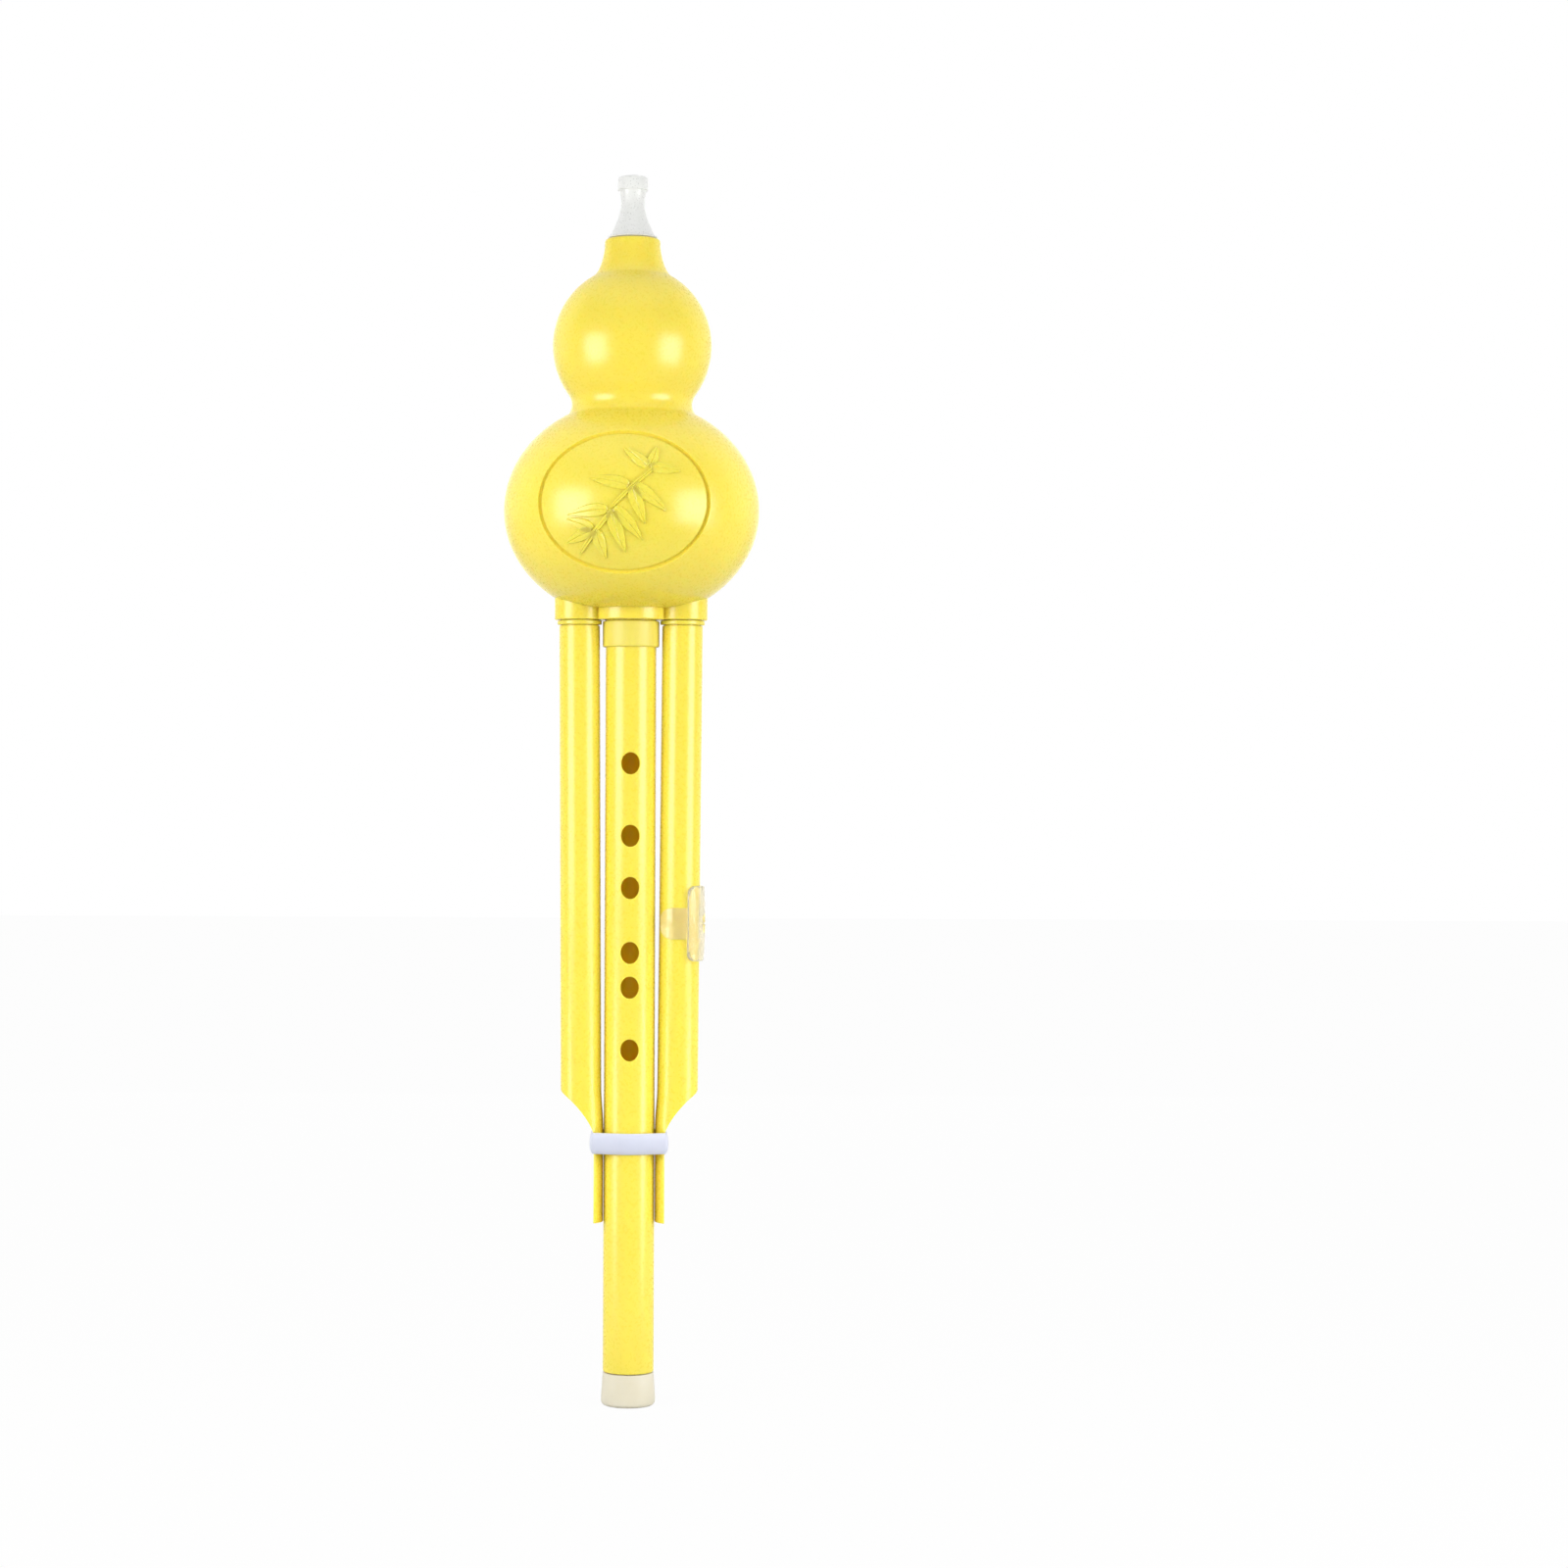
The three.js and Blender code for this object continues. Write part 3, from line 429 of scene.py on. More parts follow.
# The frame of a drone: its axis on Z, the socket rim at zero; side is -1 on the left and 1 on the right
def atDrone(mesh, side):
    place = Matrix.Translation((side * droneSpacing * mm, 0, socketRim * mm))
    mesh.transform(place @ Matrix.Rotation(side * droneTilt, 4, "Y"))
    return mesh


def prism(name, outline, near, far):  # an outline in X and Z, from Y = near to Y = far
    count = len(outline)
    points = [(x, near, z) for x, z in outline] + [(x, far, z) for x, z in outline]
    sides = [(i, (i + 1) % count, count + (i + 1) % count, count + i) for i in range(count)]
    return meshOf(name, points, [tuple(range(count)), tuple(range(count, 2 * count)), *sides])


def block(halfWidth, low, high, near, far):
    corners = [(-halfWidth, low), (halfWidth, low), (halfWidth, high), (-halfWidth, high)]
    return prism("block", corners, near, far)


# Woven surfaces: a grid of rows with windows, which rings of points fill up to a hole or a line
def addPoints(points, more):
    first = len(points)
    points.extend(more)
    return list(range(first, len(points)))


def joinRows(faces, lower, upper, closed=True):
    count = len(lower)
    for i in range(count if closed else count - 1):
        j = (i + 1) % count
        faces.append((lower[i], lower[j], upper[j], upper[i]))


def joinLoops(points, faces, ids, loops):  # from a border inwards; gives the last loop
    for loop in loops:
        current = addPoints(points, loop)
        joinRows(faces, ids, current)
        ids = current
    return ids


def stacked(name, points, rows):  # a body of closed rows with a face at each end
    faces = [tuple(rows[0]), tuple(rows[-1])]
    for lower, upper in zip(rows, rows[1:]):
        joinRows(faces, lower, upper)
    return meshOf(name, points, faces)


def weave(faces, grid, windows, closed):
    for row in range(len(grid) - 1):
        columns = len(grid[row])
        for i in range(columns if closed else columns - 1):
            if not any(left <= i < right and low <= row < high for left, right, low, high in windows):
                j = (i + 1) % columns
                faces.append((grid[row][i], grid[row][j], grid[row + 1][j], grid[row + 1][i]))


def borderOf(window):  # columns and rows round a window, anticlockwise
    left, right, low, high = window
    return [*[(i, low) for i in range(left, right)], *[(right, i) for i in range(low, high)],
            *[(i, high) for i in range(right, left, -1)], *[(left, i) for i in range(high, low, -1)]]


# Gourd
gourd = {
    "wall": 2.2, "socketDrop": 3.9, "floorRadius": 11, "lowerRise": 33.3, "lowerBelow": 37.1,
    "lowerAbove": 38, "upperSpacing": 56.6, "upperRadius": 27.2, "upperBelow": 27.8,
    "upperAbove": 27.3, "waistRadius": 20.6,
    "neckRadius": 9.55, "neckStraight": 2.6, "neckRound": 1, "neckBore": 7, "floorShare": 0.62,
    "lowerWaistShare": 0.5, "upperWaistShare": 0.798, "neckShare": 0.483, "floorPullShare": 0.55,
    "neckPullShares": (0.262, 0.274), "density": 0.62, "columns": 96, "innerColumns": 48, "seamRound": 0.12,
    "innerSeam": 0.01, "frameHalfWidth": 28.3, "frameHalfHeight": 23.3, "frameRise": 0.35, "frameTurn": -4.3,
    "frameMargins": (1.6, 1.0, 0.6), "grooveHalfWidth": 0.48, "grooveDepth": 1.35, "grooveFullness": 0.8,
    "panelDepth": 0.6, "panelMargins": (-0.6, -1.0, -1.7), "windowHalfAngle": 56.25, "windowMargin": 4.2,
    "frameSteps": 6, "grooveSteps": 8, "panelSteps": 20,
}
floorHeight = socketRim + gourd["socketDrop"]
lowerHeight = floorHeight + gourd["lowerRise"]
upperHeight = lowerHeight + gourd["upperSpacing"]
lowerRadius = gourdHigh.x
neckTop = gourdHigh.z


def lowerHalfHeight(height):
    return gourd["lowerAbove"] if height > lowerHeight else gourd["lowerBelow"]


def lowerBulbRadius(height):
    share = (height - lowerHeight) / lowerHalfHeight(height)
    return lowerRadius * math.sqrt(max(0, 1 - share * share))


def bulbOutline(density):  # rows per millimetre of height, roughly
    g = gourd
    foot, lower, upper, top = [math.acos(g[name]) for name in (
        "floorShare", "lowerWaistShare", "upperWaistShare", "neckShare")]

    def part(span):  # rows for this many millimetres
        return max(3, round(span * density))

    under = ellipseArc(0, lowerHeight, lowerRadius, g["lowerBelow"], -foot, 0, part(34))
    over = ellipseArc(0, lowerHeight, lowerRadius, g["lowerAbove"], 0, lower, part(44))
    belly = ellipseArc(0, upperHeight, g["upperRadius"], g["upperBelow"], -upper, 0, part(20))
    crown = ellipseArc(0, upperHeight, g["upperRadius"], g["upperAbove"], 0, top, part(32))
    flat = Vector((g["floorRadius"], floorHeight))
    pull = Vector((flat.x + (under[0].x - flat.x) * g["floorPullShare"], floorHeight))
    hollow = (over[-1] + belly[0]) / 2
    hollow.x = 2 * g["waistRadius"] - hollow.x
    neckFoot = Vector((g["neckRadius"], neckTop - g["neckStraight"]))
    across, up = g["neckPullShares"]
    neckPull = Vector((neckFoot.x + (crown[-1].x - neckFoot.x) * across,
                       crown[-1].y + (neckFoot.y - crown[-1].y) * up))
    return [Vector((0, floorHeight)), *bend([flat, pull, under[0]], part(18))[:-1], *under[:-1], *over[:-1],
            *bend([over[-1], hollow, belly[0]], part(14))[:-1], *belly[:-1], *crown[:-1],
            *bend([crown[-1], neckPull, neckFoot], part(16))]


def insetBy(outline, distance):
    inner = []
    for i, point in enumerate(outline):
        run = (outline[min(i + 1, len(outline) - 1)] - outline[max(i - 1, 0)]).normalized()
        inner.append(Vector((max(0, point.x - run.y * distance), point.y + run.x * distance)))
    return inner


def shellHalf(name, front):
    g = gourd
    top = rounded([(g["neckRadius"], neckTop - g["neckStraight"]), (g["neckRadius"], neckTop, g["neckRound"]),
                   (g["neckBore"], neckTop)])[1:-1]
    bulbs = bulbOutline(g["density"])
    outer = [*bulbs, *top]
    shoulder = upperHeight + g["upperAbove"] * math.sin(math.acos(g["neckShare"]))
    inner = [q if p.y < shoulder + 0.01 else Vector((g["neckBore"], p.y))
             for p, q in zip(bulbs, insetBy(bulbs, g["wall"]))]  # row by row inside the outer wall
    inner += [Vector((g["neckBore"], p.y)) for p in top]
    firstAngle = math.pi if front else 0
    points, faces = [], []

    def strip(outline, columns, seam):
        grid = []
        for p in outline:
            turns = [firstAngle + math.pi * i / columns for i in range(columns + 1)]
            grid.append(addPoints(points, [(p.x * math.cos(a), p.x * math.sin(a), p.y) for a in turns]))
        inward = seam if front else -seam
        for row in grid:
            for i in (row[0], row[-1]):
                x, y, z = points[i]
                points[i] = (x, y - inward, z)
        return grid

    outerGrid = strip(outer, g["columns"], g["seamRound"])
    innerGrid = strip(inner, g["innerColumns"], g["innerSeam"])
    windows = [frameWindow(points, faces, outerGrid, outer)] if front else []
    weave(faces, outerGrid, windows, False)
    weave(faces, [row[::-1] for row in innerGrid], [], False)
    for i in (0, -1):
        joinRows(faces, [row[i] for row in outerGrid], [row[i] for row in innerGrid], False)
    joinTop(faces, outerGrid[-1], innerGrid[-1])
    return meshOf(name, points, faces)


def joinTop(faces, many, few):  # a rim whose outer row has a whole multiple of the inner row's points
    ratio = (len(many) - 1) // (len(few) - 1)
    for i in range(len(few) - 1):
        faces.append((*many[i * ratio:(i + 1) * ratio + 1], few[i + 1], few[i]))


# The sunk oval panel: rings of points follow its line, so that it stays even
def frameWindow(points, faces, grid, outline):
    g = gourd
    centre = lowerHeight + g["frameRise"]
    reach = g["frameHalfHeight"] + g["windowMargin"]
    perColumn = 180 / g["columns"]
    middle = round((90 + g["frameTurn"]) / perColumn)
    halfColumns = round(g["windowHalfAngle"] / perColumn)
    rows = nearestRows(outline, (centre - reach, centre + reach))
    window = (middle - halfColumns, middle + halfColumns, *rows)
    turnTo = math.radians(270 + g["frameTurn"])
    border = borderOf(window)
    ids = [grid[row][column] for column, row in border]
    places = [(math.pi + math.pi * column / g["columns"] - turnTo, outline[row].y) for column, row in border]
    halfAngle = math.radians(g["windowHalfAngle"])
    directions = [math.atan2((height - centre) / reach, turn / halfAngle) for turn, height in places]

    def onOval(direction, out):  # angle round the gourd and height of a point, out from the line
        across = (g["frameHalfWidth"] + out) * math.cos(direction)
        height = centre + (g["frameHalfHeight"] + out) * math.sin(direction)
        return math.asin(across / lowerBulbRadius(height)), height

    def onBulb(turn, height, depth):
        radius = lowerBulbRadius(height)
        half = lowerHalfHeight(height)
        normal = Vector((radius / lowerRadius ** 2, (height - lowerHeight) / half ** 2)).normalized()
        radius -= normal.x * depth
        angle = turnTo + turn
        return radius * math.cos(angle), radius * math.sin(angle), height - normal.y * depth

    def oval(out, depth):
        return [onBulb(*onOval(d, out), depth) for d in directions]

    outside, *margins = g["frameMargins"]
    loops = []
    for k in range(1, g["frameSteps"] + 1):
        share = k / g["frameSteps"]
        goals = [onOval(d, outside) for d in directions]
        loops.append([onBulb(turn + (goalTurn - turn) * share, height + (goalHeight - height) * share, 0)
                      for (turn, height), (goalTurn, goalHeight) in zip(places, goals)])
    loops += [oval(out, 0) for out in margins]
    for k in range(g["grooveSteps"] + 1):
        a = math.pi * k / g["grooveSteps"]
        depth = g["grooveDepth"] * math.sin(a) ** g["grooveFullness"]
        out = g["grooveHalfWidth"] * math.cos(a)
        loops.append(oval(out, max(depth, g["panelDepth"]) if out < 0 else depth))
    loops += [oval(out, g["panelDepth"]) for out in g["panelMargins"]]
    start = g["panelMargins"][-1]
    for k in range(1, g["panelSteps"]):
        loops.append(oval(start - (g["frameHalfHeight"] + start) * k / g["panelSteps"], g["panelDepth"]))
    faces.append(tuple(joinLoops(points, faces, ids, loops)))
    return window


# Sockets under the gourd
socket = {
    "mainRadius": 12.6, "mainBore": 9, "droneRadius": 8.5, "droneBore": 6.5, "rimRound": 0.35,
    "boreRound": 0.25, "flangeHigh": 277.2, "flangeSeat": 0.05, "seat": 0.12,
}


def socketCutters():  # the sockets' outsides, a little smaller, so that they seat in the shell
    low, high, seat = socketRim - overrun, blockHigh.z, socket["seat"]
    tools = [turned("hole", rod(socket["mainRadius"] - seat, low, high))]
    for side in hands.values():
        hole = rod(socket["droneRadius"] - seat, low - socketRim, high - socketRim)
        tools.append(atDrone(turned("hole", hole), side))
    return tools


def socketBlock():
    s = socket
    low, top = socketRim, blockHigh.z
    soft = s["rimRound"]

    def post(radius, bottom, high):
        return rounded([(0, bottom), (radius, bottom, soft), (radius, high, soft), (0, high)])

    def bore(radius, bottom, high):
        lip = s["boreRound"]
        under, over = bottom - overrun, high + overrun
        return [(0, under), (radius + lip, under), (radius + lip, bottom), (radius, bottom + lip),
                (radius, high - lip), (radius + lip, high), (radius + lip, over), (0, over)]

    wide = steps["wideSides"]
    body = turned("socketBlock", post(s["mainRadius"], low, top), sides=wide)
    posts = [atDrone(turned("post", post(s["droneRadius"], 0, top - low)), side) for side in hands.values()]
    # The flange lies on the floor of the shell
    floorLine = insetBy(bulbOutline(1), gourd["wall"] + s["flangeSeat"])
    floorLine = [p for p in floorLine if p.y < min(s["flangeHigh"], lowerHeight)]
    dish = turned("flange", [*floorLine, (floorLine[-1].x, s["flangeHigh"]), (0, s["flangeHigh"])])
    flange = carved(dish, [block(2 * blockHigh.x, low, top, -blockHigh.y, blockHigh.y)], "INTERSECT")
    body = carved(body, [*posts, flange], "UNION")
    bores = [turned("bore", bore(s["mainBore"], low, top), sides=wide)]
    bores += [atDrone(turned("bore", bore(s["droneBore"], 0, top - low)), side) for side in hands.values()]
    return carved(body, bores)


def makeGourd():
    for name, front, node in (("gourdFrontShell", True, "gourd_front_shell"),
                              ("gourdBackShell", False, "gourd_back_shell")):
        finished(name, carved(shellHalf(name, front), socketCutters()), "gourd", "yellow_plastic", node)
    finished("socketBlock", socketBlock(), "gourd", "yellow_plastic", "socket_block")


makeGourd()
print("gourd and sockets made")


# Raised bamboo sprig in the panel: Geometry Nodes set a leaf on each point and lay them on the bulb.
# A leaf is its foot in X and Z, direction in degrees, length, width, curl, and 1 where it is a stem.
sprig = {
    "height": 0.6, "sunk": 0.4, "shoulder": 0.2, "rib": 0.22, "taper": 0.8,
    "lengthSteps": 26, "acrossSteps": 16,
    "leaves": (
        (-15, -18, 54, 19, 1.9, -0.06, 1), (-4.2, -3.2, 48, 20.5, 1.7, -0.08, 1),
        (-9.4, -10, 196, 11, 4.6, 0.12, 0), (-9.4, -10, 152, 10.5, 4.4, 0.1, 0),
        (-8.8, -9.6, 282, 10.5, 4.6, 0.1, 0), (-4.4, -3.4, 178, 14.5, 5.0, 0.14, 0),
        (-3.8, -3, 284, 15.5, 5.2, 0.08, 0), (-3, -2.4, 318, 15, 5.0, -0.12, 0),
        (2.8, 4.6, 162, 14.5, 5.0, 0.12, 0), (3.2, 4.8, 286, 14, 5.0, 0.06, 0),
        (3.6, 5.2, 328, 14.5, 5.0, -0.12, 0), (8.6, 11, 136, 11, 4.4, 0.1, 0),
        (9, 11, 0, 10.5, 4.4, -0.12, 0), (8.9, 11.2, 66, 8, 3.8, 0.1, 0),
    ),
}
lanceScale = 1.5 * math.sqrt(3)  # brings the widest place of a lance-shaped leaf to 1
ribShare = 0.13  # half width of the groove along the leaf, as a share of the leaf's


def sprigTree():
    metres = ("Height", "Sunk", "Rib", "Taper", "Panel Depth", "Panel Rise", "Bulb Height", "Bulb Radius",
              "Half Height Above", "Half Height Below", "Shoulder Share", "Turn")
    tree, given = newTree("leaf sprig", [
        *[(label, "NodeSocketFloat", 0.0) for label in metres], ("Length Steps", "NodeSocketInt", 24),
        ("Across Steps", "NodeSocketInt", 16), ("Material", "NodeSocketMaterial", None)])
    value = given.outputs

    # A leaf is two flat grids that share a border: the raised face and its sunk back
    grid = addNode(tree, "GeometryNodeMeshGrid",
                   {"Vertices X": value["Length Steps"], "Vertices Y": value["Across Steps"]})
    spot = addNode(tree, "ShaderNodeSeparateXYZ", {0: addNode(tree, "GeometryNodeInputPosition")})
    grids = reckonAll(tree, {"x": spot.outputs[0], "y": spot.outputs[1]}, (
        ("along", "ADD", "x", 0.5), ("side", "MULTIPLY", "y", 2.0)))
    onPoints = {"data_type": "FLOAT", "domain": "POINT"}
    marked = grid
    for name in ("along", "side"):
        marked = addNode(tree, "GeometryNodeStoreNamedAttribute",
                         {"Geometry": marked, "Name": name, "Value": grids[name]}, **onPoints)
    shrunk = addNode(tree, "GeometryNodeSetPosition",
                     {"Geometry": marked, "Position": addNode(tree, "ShaderNodeCombineXYZ")})
    leaf = addNode(tree, "GeometryNodeJoinGeometry")
    for raised in (1.0, 0.0):
        layer = addNode(tree, "GeometryNodeStoreNamedAttribute",
                        {"Geometry": shrunk, "Name": "raised", "Value": raised}, **onPoints)
        tree.links.new(layer.outputs[0], leaf.inputs[0])
    leaves = addNode(tree, "GeometryNodeInstanceOnPoints", {"Points": value["Geometry"], "Instance": leaf})
    real = addNode(tree, "GeometryNodeRealizeInstances", {"Geometry": leaves})

    # Each point's place on its leaf, how far it is raised, and where the leaf turns it to
    known = {name: addNode(tree, "GeometryNodeInputNamedAttribute", {"Name": name}, data_type="FLOAT")
             for name in ("along", "side", "raised", "length", "halfWidth", "curl", "stem", "direction")}
    known.update({label: value[label] for label in metres})
    reckonAll(tree, known, (
        ("rest", "SUBTRACT", 1.0, "along"), ("root", "SQRT", "along"),
        ("tall", "MULTIPLY", "root", lanceScale), ("lance", "MULTIPLY", "tall", "rest"),
        ("doubled", "MULTIPLY_ADD", "along", 2.0, -1.0), ("middled", "ABSOLUTE", "doubled"),
        ("blunt", "POWER", "middled", 8.0), ("even", "SUBTRACT", 1.0, "blunt"),
        ("fuller", "SUBTRACT", "even", "lance"), ("width", "MULTIPLY_ADD", "fuller", "stem", "lance"),
        ("sideways", "MULTIPLY", "side", "width"), ("out", "MULTIPLY", "sideways", "halfWidth"),
        ("ahead", "MULTIPLY", "along", "length"), ("further", "MULTIPLY", "ahead", "along"),
        ("bent", "MULTIPLY", "further", "curl"), ("outAndBent", "ADD", "out", "bent"),
        ("inward", "ABSOLUTE", "side"), ("shoulder", "SUBTRACT", 1.0, "Shoulder Share"),
        ("slope", "SMOOTHSTEP", "inward", 1.0, "shoulder", 0.0, 1.0),
        ("nearEnd", "MINIMUM", "along", "rest"), ("toEnd", "MULTIPLY", "nearEnd", "length"),
        ("ends", "LINEAR", "toEnd", 0.0, "Taper", 0.0, 1.0),
        ("rib", "LINEAR", "inward", 0.0, ribShare, "Rib", 0.0),
        ("whole", "ADD", "Height", "Sunk"), ("full", "SUBTRACT", "whole", "rib"),
        ("edge", "MULTIPLY", "slope", "ends"), ("share", "MULTIPLY", "edge", "raised"),
        ("above", "MULTIPLY", "full", "share"), ("lift", "SUBTRACT", "above", "Sunk")))
    flat = addNode(tree, "ShaderNodeCombineXYZ", {0: known["ahead"], 1: known["outAndBent"]})
    aimed = addNode(tree, "ShaderNodeVectorRotate", {"Vector": flat, "Angle": known["direction"]},
                    rotation_type="Z_AXIS")
    foot = addNode(tree, "GeometryNodeInputPosition")
    laid = addNode(tree, "ShaderNodeVectorMath", {0: foot, 1: aimed}, operation="ADD")
    laid = addNode(tree, "ShaderNodeSeparateXYZ", {0: laid})

    # The bulb's surface under that point, its normal, and the point laid on it
    known.update({"x": laid.outputs[0], "y": laid.outputs[1]})
    reckonAll(tree, known, (
        ("rise", "ADD", "y", "Panel Rise"), ("over", "GREATER_THAN", "rise", 0.0),
        ("taller", "SUBTRACT", "Half Height Above", "Half Height Below"),
        ("half", "MULTIPLY_ADD", "taller", "over", "Half Height Below"), ("high", "DIVIDE", "rise", "half"),
        ("square", "MULTIPLY", "high", "high"), ("left", "SUBTRACT", 1.0, "square"),
        ("level", "SQRT", "left"), ("radius", "MULTIPLY", "level", "Bulb Radius"),
        ("normalY", "DIVIDE", "level", "Bulb Radius"),
        ("normalZ", "DIVIDE", "high", "half"), ("height", "ADD", "rise", "Bulb Height"),
        ("depth", "SUBTRACT", "lift", "Panel Depth"), ("ratio", "DIVIDE", "x", "radius"),
        ("bearing", "ARCSINE", "ratio"), ("turn", "ADD", "bearing", "Turn")))
    normal = addNode(tree, "ShaderNodeCombineXYZ", {1: known["normalY"], 2: known["normalZ"]})
    normal = addNode(tree, "ShaderNodeVectorMath", {0: normal}, operation="NORMALIZE")
    skin = addNode(tree, "ShaderNodeCombineXYZ", {1: known["radius"], 2: known["height"]})
    offset = addNode(tree, "ShaderNodeVectorMath", {0: normal, "Scale": known["depth"]}, operation="SCALE")
    upon = addNode(tree, "ShaderNodeVectorMath", {0: skin, 1: offset}, operation="ADD")
    around = addNode(tree, "ShaderNodeVectorRotate", {"Vector": upon, "Angle": known["turn"]},
                     rotation_type="Z_AXIS")
    placed = addNode(tree, "GeometryNodeSetPosition", {"Geometry": real, "Position": around})
    merged = addNode(tree, "GeometryNodeMergeByDistance", {"Geometry": placed, "Distance": 1e-6})
    return closeTree(tree, given, merged)


def makeSprig():
    g, s = gourd, sprig
    base = bpy.data.meshes.new("leafRelief")
    base.from_pydata([(x * mm, z * mm, 0) for x, z, *_ in s["leaves"]], [], [])
    columns = {"direction": [math.radians(leaf[2]) for leaf in s["leaves"]],
               "length": [leaf[3] * mm for leaf in s["leaves"]],
               "halfWidth": [leaf[4] / 2 * mm for leaf in s["leaves"]],
               "curl": [leaf[5] for leaf in s["leaves"]], "stem": [leaf[6] for leaf in s["leaves"]]}
    for name, numbers in columns.items():
        base.attributes.new(name, "FLOAT", "POINT").data.foreach_set("value", numbers)
    values = {"Height": s["height"] * mm, "Sunk": s["sunk"] * mm,
              "Rib": s["rib"] * mm, "Taper": s["taper"] * mm,
              "Panel Depth": g["panelDepth"] * mm, "Panel Rise": g["frameRise"] * mm,
              "Bulb Height": lowerHeight * mm, "Bulb Radius": lowerRadius * mm,
              "Half Height Above": g["lowerAbove"] * mm, "Half Height Below": g["lowerBelow"] * mm,
              "Shoulder Share": s["shoulder"], "Turn": math.pi + math.radians(g["frameTurn"]),
              "Length Steps": s["lengthSteps"], "Across Steps": s["acrossSteps"] + 1,
              "Material": materials["yellow_plastic"]}
    finished("leafRelief", tidied(madeBy(sprigTree(), "leafRelief", base, values)), "gourd", "yellow_plastic")


makeSprig()
print("leaf relief made")


# Main pipe, with its holes woven in
mainPipe = {
    "wall": 2, "endRound": 0.35, "columns": 96, "holeRound": 0.3, "holeSteps": 4,
    "fingerHoleShares": (0.191, 0.287, 0.356, 0.442, 0.488, 0.571), "thumbHoleShare": 0.128,
    "ventHoleShares": (0.82, 0.866), "fingerHoleSize": (6.2, 7.5), "ventHoleSize": (5, 5),
    "windowHalfHeight": 5.5, "windowHalfColumns": 8, "windowRows": 12,
    "sealDepth": 1.2, "sealHalfHeight": 0.675, "sealShares": (0.3, 0.62), "grooveRound": 0.12,
}
sealHeights = [socketRim + (mainPipeHigh.z - socketRim) * share for share in mainPipe["sealShares"]]
mainBore = mainRadius - mainPipe["wall"]


def pipeTurn(column):
    return 2 * math.pi * column / mainPipe["columns"]


def makeMainPipe():
    p = mainPipe
    foot, top = mainPipeLow.z, mainPipeHigh.z
    reach = socketRim - foot
    columns, halfHeight, halfColumns = p["columns"], p["windowHalfHeight"], p["windowHalfColumns"]
    front, back = 270, 90
    holes = [(front, socketRim - reach * share, p["fingerHoleSize"]) for share in p["fingerHoleShares"]]
    holes.append((back, socketRim - reach * p["thumbHoleShare"], p["fingerHoleSize"]))
    holes += [(back, socketRim - reach * share, p["ventHoleSize"]) for share in p["ventHoleShares"]]
    outline = [(mainBore, foot), (mainRadius, foot, p["endRound"])]
    for height in sealHeights:
        outline += sealGroove(mainRadius, height, p)
    outline += [(mainRadius, top, p["endRound"]), (mainBore, top)]
    rowsOut = rounded(outline)[1:-1]
    lines = sorted(middle - halfHeight + 2 * halfHeight * k / p["windowRows"]
                   for _, middle, _ in holes for k in range(p["windowRows"] + 1))
    split = next(i for i, row in enumerate(rowsOut) if row.y > socketRim)
    rowsOut[split:split] = [Vector((mainRadius, z)) for z in lines]
    rowsIn = [Vector((mainBore, z)) for z in [foot, *lines, top]]
    points, faces, inside = [], [], []

    def gridOf(rows):
        turns = [pipeTurn(i) for i in range(columns)]
        return [addPoints(points, [(row.x * math.cos(a), row.x * math.sin(a), row.y) for a in turns])
                for row in rows]

    outer, inner = gridOf(rowsOut), gridOf(rowsIn)
    outerWindows, innerWindows = [], []
    for angle, middle, size in holes:
        centre = round(angle / 360 * columns)
        edges = (middle - halfHeight, middle + halfHeight)
        found = [(centre - halfColumns, centre + halfColumns, *nearestRows(rows, edges))
                 for rows in (rowsOut, rowsIn)]
        outerWindows.append(found[0])
        innerWindows.append(found[1])
        drill(points, faces, (outer, inner), (rowsOut, rowsIn), found, (math.radians(angle), middle, size))
    weave(faces, outer, outerWindows, True)
    weave(inside, inner, innerWindows, True)
    faces.extend(face[::-1] for face in inside)
    joinRows(faces, inner[0], outer[0])
    joinRows(faces, outer[-1], inner[-1])
    return meshOf("mainPipe", points, faces)


def drill(points, faces, grids, rows, windows, hole):  # a hole straight through the wall
    angle, middle, (width, height) = hole
    soft, count = mainPipe["holeRound"], mainPipe["holeSteps"]
    halfTurn = pipeTurn(mainPipe["windowHalfColumns"])
    ends = []
    for grid, row, window, radius in zip(grids, rows, windows, (mainRadius, mainBore)):
        border = borderOf(window)
        places = [(pipeTurn(c) - angle, row[r].y - middle) for c, r in border]
        directions = [math.atan2(z / mainPipe["windowHalfHeight"], turn / halfTurn) for turn, z in places]

        def onHole(direction, out, depth):
            across, deep = (width / 2 + out) * math.cos(direction), radius - depth
            return math.asin(across / deep), (height / 2 + out) * math.sin(direction), deep

        def placed(turn, z, deep):
            return deep * math.cos(angle + turn), deep * math.sin(angle + turn), middle + z

        loops = []
        goals = [onHole(d, soft, 0)[:2] for d in directions]
        for k in range(1, count + 1):
            loops.append([placed(turn + (goalTurn - turn) * k / count, z + (goalZ - z) * k / count, radius)
                          for (turn, z), (goalTurn, goalZ) in zip(places, goals)])
        if radius < mainRadius:
            loops.append([placed(*onHole(d, 0, 0)) for d in directions])
        else:
            for k in range(1, count + 1):
                a = math.pi / 2 * k / count
                out, depth = soft * (1 - math.sin(a)), soft * (1 - math.cos(a))
                loops.append([placed(*onHole(d, out, depth)) for d in directions])
        ends.append(joinLoops(points, faces, [grid[r][c] for c, r in border], loops))
    joinRows(faces, ends[0], ends[1])


